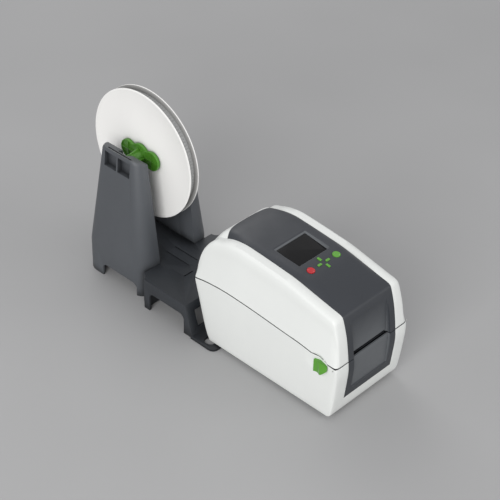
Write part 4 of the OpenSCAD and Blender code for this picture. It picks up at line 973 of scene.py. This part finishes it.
def press_panel(bm):
    """Sets the ramp back above the label exit, sinks the window's bevelled rim and opens both."""
    window = on_console(WINDOW_B, WINDOW_H)
    to_window = window.inverted()
    half_x, half_y = WINDOW_W / 2, WINDOW_L / 2
    for v in bm.verts:
        step = smooth_step((RAMP_X + RAMP_SOFT * 0.3 - abs(v.co.x)) / (RAMP_SOFT * 1.3))
        v.co.y += ramp_depth(v.co) * step
        p = to_window @ v.co
        outside = max(abs(p.x) - half_x, abs(p.y) - half_y - PANEL_FIT) / WINDOW_BEVEL
        if outside < 1:
            p.z = min(p.z, -WINDOW_DEEP * min(1, 1 - outside))
            v.co = window @ p
    drop_faces(bm, lambda p: abs((to_window @ p).x) < half_x and abs((to_window @ p).y) < half_y)
    drop_faces(bm, lambda p: abs(p.x) < EXIT_X and p.z < RAMP_LOW and dist_back(p) < RAMP_TOP_B)


def cut_wells(bm):
    """Cuts the wells of the four arrow keys and the two round ones."""
    to_keys = key_plane().inverted()

    def in_arrow(p):
        q = to_keys @ p
        along, across = max(abs(q.x), abs(q.y)), min(abs(q.x), abs(q.y))
        return abs(q.z) < WELL_DEEP and across < ARROW_W / 2 and abs(along - ARROW_OUT) < ARROW_L / 2

    def round_well(p):
        q = to_keys @ p
        return 1.0 if abs(q.z) > WELL_DEEP else math.hypot(abs(q.x) - KEY_X, q.y) - KEY_R

    drop_faces(bm, in_arrow)
    snap_cut(bm, round_well)


def control_panel():
    """The dark panel from the rear of the top down to the label exit, with its window and key wells."""
    bm = bmesh.new()
    columns = panel_columns()
    grid(bm, [[at(x, p.x, on_roof(x, p)) for p in columns] for x in panel_rows()])
    snap_cut(bm, lambda p: -PANEL_FIT - panel_reach(p))
    bmesh.ops.recalc_face_normals(bm, faces=bm.faces)
    bm.normal_update()
    if sum(f.normal.z for f in bm.faces) < 0:
        bmesh.ops.reverse_faces(bm, faces=bm.faces)
    press_panel(bm)
    cut_wells(bm)
    rounded_wall(bm, PANEL_T, PANEL_LIP)
    plane = key_plane()
    for x in (-POST_X, POST_X):
        for y in POST_Y:
            rod(bm, plane @ Vector((x, y, 0)), plane.to_3x3() @ UP, POST_ENDS, POST_R)
    piece("console_panel", bm, DARK, "cover", ["control_panel"], 24)


def front_plate():
    """The dark panel under the label exit, with its soft-edged recess."""
    low = FRONT_LOW + PANEL_FIT
    high = PART_H - PANEL_GAP
    heights = [high, low] + [RECESS_LOW + RECESS_RISE * i / 3 for i in range(4)]
    line = with_crossings(side_line, 1, heights, NEAR_FRONT)
    columns = [p for p in line if p.x < NEAR_FRONT[1] and low - 1e-7 <= p.y <= high + 1e-7]
    half = [0.008, 0.016, 0.022, 0.027] + [RAMP_X - RECESS_SOFT + RECESS_SOFT * i / 4 for i in range(5)]
    half += [0.032, 0.035, PANEL_EDGE - PANEL_FIT]
    xs = [-x for x in reversed(half)] + half
    bm = bmesh.new()
    grid(bm, [[at(x, p.x, p.y) for p in columns] for x in xs])
    bm.normal_update()
    if sum(f.normal.y for f in bm.faces) > 0:
        bmesh.ops.reverse_faces(bm, faces=bm.faces)
    for v in bm.verts:
        side = smooth_step((RAMP_X - abs(v.co.x)) / RECESS_SOFT)
        rise = smooth_step((v.co.z - RECESS_LOW) / RECESS_RISE)
        v.co.y += max(0.0, RECESS_T + RECESS_LEAN - dist_back(v.co) * 0.5) * side * rise
    rounded_wall(bm, PANEL_T, PANEL_LIP)
    piece("front_plate", bm, DARK, "base", ["front_panel"])


# Keys and display

def round_key(name, side, material):
    """A round key cap, dished for a finger, with the flange that holds it under the panel."""
    bm = bmesh.new()
    plane = key_plane()
    cap = KEY_R - KEY_FIT
    flange = KEY_R + KEY_FLANGE
    dish_low = KEY_TOP - 0.0002
    steps = 12
    profile = []
    for i in range(steps + 1):
        r = (cap - 0.0004) * i / steps
        low = dish_low - (KEY_GROOVE if i == 8 else 0)
        profile.append((low + KEY_DISH_R - math.sqrt(KEY_DISH_R ** 2 - r ** 2), max(r, 1e-6)))
    profile += [(KEY_TOP, cap - 0.0002), (KEY_TOP - 0.0001, cap - 0.00005), (KEY_TOP - 0.0003, cap),
        (KEY_FLANGE_TOP, cap), (KEY_FLANGE_TOP, flange), (KEY_LOW, flange), (KEY_LOW, 1e-6)]
    turned(bm, plane @ Vector((side * KEY_X, 0, 0)), plane.to_3x3() @ UP, profile, 56)
    piece(name + "_cap", bm, material, "key_" + name, [name + "_key"])


def arrow_key(name, x, y):
    """A bar key of the cross, with a crowned top and round edges."""
    bm = bmesh.new()
    across, along = (ARROW_W, ARROW_L) if x == 0 else (ARROW_L, ARROW_W)
    levels = [(KEY_LOW, ARROW_FLANGE, 0.0004), (KEY_FLANGE_TOP, ARROW_FLANGE, 0.0004),
        (KEY_FLANGE_TOP, 0, 0.0004), (0.0004, 0, 0.0004), (0.0006, -0.00005, 0.0004),
        (0.0007, -0.00015, 0.0004), (0.00075, -0.0003, 0.0003)]
    stack(bm, key_plane(), (x * ARROW_OUT, y * ARROW_OUT), across - KEY_FIT, along - KEY_FIT, levels)
    piece(name + "_cap", bm, GREEN_KEY, "key_" + name, [name + "_key"])


def keys():
    """All six keys: a red and a green round one, and the cross of four arrows."""
    round_key("cancel", -1, RED_KEY)
    round_key("confirm", 1, GREEN_KEY)
    for name, x, y in (("up", 0, 1), ("down", 0, -1), ("left", -1, 0), ("right", 1, 0)):
        arrow_key(name, x, y)


def display():
    """The dark window over the display, its edge ground round."""
    bm = bmesh.new()
    gap = 0.0004
    levels = [(-0.0032, 0, 0.0008), (-0.0015, 0, 0.0008), (-0.00132, -0.00006, 0.0008),
        (-0.00124, -0.0002, 0.0008), (-0.0012, -0.0004, 0.0008)]
    stack(bm, on_console(WINDOW_B, WINDOW_H), (0, 0), WINDOW_W - gap, WINDOW_L - gap, levels)
    piece("display_window", bm, SCREEN, "cover", ["display_glass"])


# Latches

def grip_reach(b, z):
    """How far the latch's grip stands out of the case's side, by its plan and by its front view."""
    flat = GRIP_B + 0.007
    if b < GRIP_B + GRIP_R:
        plan = GRIP_OUT - GRIP_R + math.sqrt(max(0.0, GRIP_R ** 2 - (GRIP_B + GRIP_R - b) ** 2))
    elif b < flat:
        plan = GRIP_OUT
    else:
        share = (b - flat) / (GRIP_END - flat)
        plan = GRIP_OUT * (1 - share) + GRIP_NEAR * share - GRIP_SCOOP * math.sin(share * math.pi)
    wedge = GRIP_NEAR + (GRIP_OUT - GRIP_NEAR) * smooth_step((GRIP_UP - z) / (GRIP_UP + GRIP_DOWN) + 0.08)
    return min(plan, wedge)


def grip_depth(b, z):
    """Where the grip's inner face lies: just clear of the dimple's ball, so that the latch can turn."""
    ball = DIMPLE_BALL - GRIP_GAP
    centre = HALF_W - DIMPLE_T + DIMPLE_BALL
    return min(centre - math.sqrt(ball ** 2 - (b - LATCH_B) ** 2 - z ** 2), HALF_W + GRIP_GAP / 2)


def latch(side, node, name, body):
    """A release lever: a grip that stands out with a rounded face, on its shaft with the hook."""
    bm = bmesh.new()
    under = [(GRIP_B, -0.0026), (0.0182, -0.00845), (0.023, -0.0114), (GRIP_END, -GRIP_DOWN)]
    places = [GRIP_B + GRIP_R * (1 - math.cos(math.radians(t))) for t in range(0, 91, 15)]
    places += [0.0165, 0.018, 0.0195] + [0.020 + 0.0012 * i for i in range(1, 11)]
    levels = 14
    inner_levels = 4
    rings = []
    for b in places:
        low = lookup(b, under)
        outer = [GRIP_UP + (low - GRIP_UP) * i / levels for i in range(levels + 1)]
        inner = [low + (GRIP_UP - low) * i / inner_levels for i in range(inner_levels + 1)]
        outline = [(HALF_W + grip_reach(b, z), z) for z in outer] + [(grip_depth(b, z), z) for z in inner]
        rings.append([at(side * x, b, LATCH_H + z) for x, z in outline])
    solid(bm, rings)
    pivot = at(0, LATCH_B, LATCH_H)
    ends = sorted((side * HOOK_X, side * (HALF_W - DIMPLE_T + GRIP_GAP + 0.001)))
    rod(bm, pivot, SIDEWAYS, ends, LATCH_BORE - 0.00005)
    ends = sorted((side * HOOK_X, side * (HOOK_X + HOOK_T)))
    rod(bm, pivot, SIDEWAYS, ends, HOOK_R)
    hook = [(HOOK_W / 2, 0), (HOOK_W / 2, HOOK_H), (-HOOK_W, HOOK_H), (-HOOK_W * 1.1, HOOK_H - NOSE_H),
        (-HOOK_W / 2, HOOK_H - NOSE_H), (-HOOK_W / 2, 0)]
    prism(bm, [(LATCH_B + b, LATCH_H + z) for b, z in hook], ends)
    obj = piece(name, bm, GREEN, body, [node], 30)
    bevel(obj, 0.0006, 3, 40)


# Reel

def flange(side, node):
    """A reel flange: a thin disc with a raised rim, a step round the hub and a rounded edge."""
    bm = bmesh.new()
    inner, outer = sorted(abs(corner.x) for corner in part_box(node))
    rim_r = REEL_R - FLANGE_RIM
    slope = 0.0006
    dish = outer - FLANGE_DISH
    profile = [(inner, REEL_BORE), (inner, REEL_R - 0.0004), (inner + 0.0002, REEL_R - 0.0001),
        ((inner + outer) / 2, REEL_R), (outer - 0.0002, REEL_R - 0.0001), (outer, REEL_R - 0.0005),
        (outer, rim_r), (dish, rim_r - slope), (dish, FLANGE_STEP_R + slope), (outer, FLANGE_STEP_R),
        (outer, REEL_BORE), (inner, REEL_BORE)]
    turned(bm, AXLE, (side, 0, 0), profile, 192)
    piece("disc_" + ("right" if side > 0 else "left"), bm, REEL_WHITE, "reel", [node], 30)


def outer_turn():
    """The outermost turn of the wound strip, tag by tag."""
    bm = bmesh.new()
    margin = 0.45
    shape = [(0.0, margin), (0.08, 0.5), (0.13, 1), (0.45, 1.0), (0.78, 1.0), (0.86, 0.5)]
    widths = [STRIP_X * share for share in (-1, -0.82, -0.76, 0.76, 0.82, 1)]
    rings = []
    for k in range(TAGS):
        for place, height in shape:
            a = (k + place) * TAG_TURN
            base = STRIP_BASE_R + STRIP_RISE * a / (2 * math.pi)
            corners = [(x, base + TAG_T * (height if abs(x) < STRIP_X * 0.79 else margin)) for x in widths]
            corners += [(STRIP_X, base), (-STRIP_X, base)]
            out = Vector((0, math.cos(a), math.sin(a)))
            rings.append([AXLE + out * r + Vector((x, 0, 0)) for x, r in corners])
    solid(bm, rings)
    piece("strip_turn", bm, STRIP, "reel", ["strip_winding"], 40)


def inner_turns():
    """The turns of the strip below the outermost one, with a fine groove between two turns."""
    bm = bmesh.new()
    core_r = STRIP_BASE_R - 0.00005
    step = (core_r - STRIP_START_R) / STRIP_LAYERS
    turns = [(-STRIP_X + 0.0001, REEL_BORE)]
    for i in range(STRIP_LAYERS):
        r = STRIP_START_R + step * i
        turns += [(-STRIP_X + 0.0001, r), (-STRIP_X, r + 0.0002), (-STRIP_X, r + step * 0.82)]
    turns += [(-STRIP_X + 0.0003, core_r), (STRIP_X - 0.0003, core_r)]
    turns += [(-a, r) for a, r in reversed(turns[:-2])] + [turns[0]]
    turned(bm, AXLE, SIDEWAYS, turns, 128)
    piece("strip_turns_below", bm, STRIP, "reel", ["strip_core"], 30)


# Carried-over pieces and their finishes

def dress_nodes():
    """Gives every CAD node that stays its finish."""
    finishes = {
        DARK: ["rear_panel", "guide_left", "guide_right"],
        RUBBER: ["rubber_feet", "platen_roller"],
        BOARD: ["main_board", "console_board"],
        BLACK: ["power_inlet", "power_switch", "platen_bushes", "label_sensor"],
        DARK_STEEL: ["tear_bar"],
        STEEL: ["usb_port", "network_port", "stepper_motor", "case_screws", "hinge_pin",
            "platen_shaft", "motor_pinion", "display_module", "head_springs", "head_bracket", "head_pin",
            "tower_screws"],
        GREY: ["media_frame", "ribbon_frame", "supply_spindle", "takeup_spindle"],
        GEAR: ["platen_gear", "idler_gear"],
        HEAD: ["thermal_head"],
        FILM: ["ribbon_roll", "takeup_roll"],
    }
    for material, nodes in finishes.items():
        for node in nodes:
            dress(node, material, 0.00025)
    dress("holder_base", HOLDER_DARK, 0.0006, 3)
    dress("tower_left", HOLDER_GREY, 0.0007, 3)
    dress("tower_right", HOLDER_GREY, 0.0007, 3)
    dress("reel_axle", HUB, 0.0005)
    dress("hub_spool", HUB, 0.0004)
    dress("hub_wing", HUB, 0.0004)


# Stage: floor, light and camera

def floor():
    """A wide pale floor that fades into the background."""
    bm = bmesh.new()
    bmesh.ops.create_grid(bm, x_segments=1, y_segments=1, size=6)
    material = Material("floor")
    tone = material.mottled(material.noise(3, 2), srgb(166, 166, 166), srgb(170, 170, 170))
    material.look(Base_Color=tone, Roughness=0.9, Specular_IOR_Level=0.1)
    obj = mesh_object("floor", bm, material)


def lamp(name, place, target, power, size):
    """A square soft light at a place, turned to its target."""
    data = bpy.data.lights.new(name, "AREA")
    data.shape = "SQUARE"
    data.size = size
    data.energy = power
    obj = new_object(name, data)
    obj.location = place
    obj.rotation_euler = (Vector(target) - Vector(place)).to_track_quat("-Z", "Y").to_euler()


def lights():
    """A pale studio: a broad key light, a fill and a rim light."""
    world = bpy.data.worlds.new("studio")
    scene.world = world
    world.use_nodes = True
    background = world.node_tree.nodes["Background"]
    background.inputs["Color"].default_value = (0.98, 0.98, 1.0, 1)
    background.inputs["Strength"].default_value = 0.6
    lamp("key", (-2.0, -0.9, 1.15), (0, 0, 0.08), 38, 1.4)
    lamp("fill", (0.7, -2.0, 0.8), (0, 0, 0.08), 10, 1.6)
    lamp("rim", (0.8, 1.6, 1.6), (0, 0, 0.1), 10, 1.2)


def camera():
    """The camera at the photograph's place, angle and focal length."""
    data = bpy.data.cameras.new("camera")
    data.lens = CAMERA_LENS
    data.sensor_width = CAMERA_SENSOR
    data.clip_start = 0.05
    obj = new_object("camera", data)
    azimuth, tilt, roll = map(math.radians, (CAMERA_AZIMUTH, 90 - CAMERA_ELEVATION, CAMERA_ROLL))
    turn = Matrix.Rotation(azimuth, 4, "Z") @ Matrix.Rotation(tilt, 4, "X") @ Matrix.Rotation(roll, 4, "Z")
    obj.matrix_world = Matrix.Translation(CAMERA_AT) @ turn
    scene.camera = obj


scene.view_settings.view_transform = "Standard"
camera()
floor()
lights()
hood_shell()
case_shell()
seam_shadow_band()
case_fittings()
hood_fittings()
control_panel()
front_plate()
keys()
display()
latch(-1, "latch_left", "lever_left", "latch_l")
latch(1, "latch_right", "lever_right", "latch_r")
flange(-1, "flange_left")
flange(1, "flange_right")
outer_turn()
inner_turns()
dress_nodes()
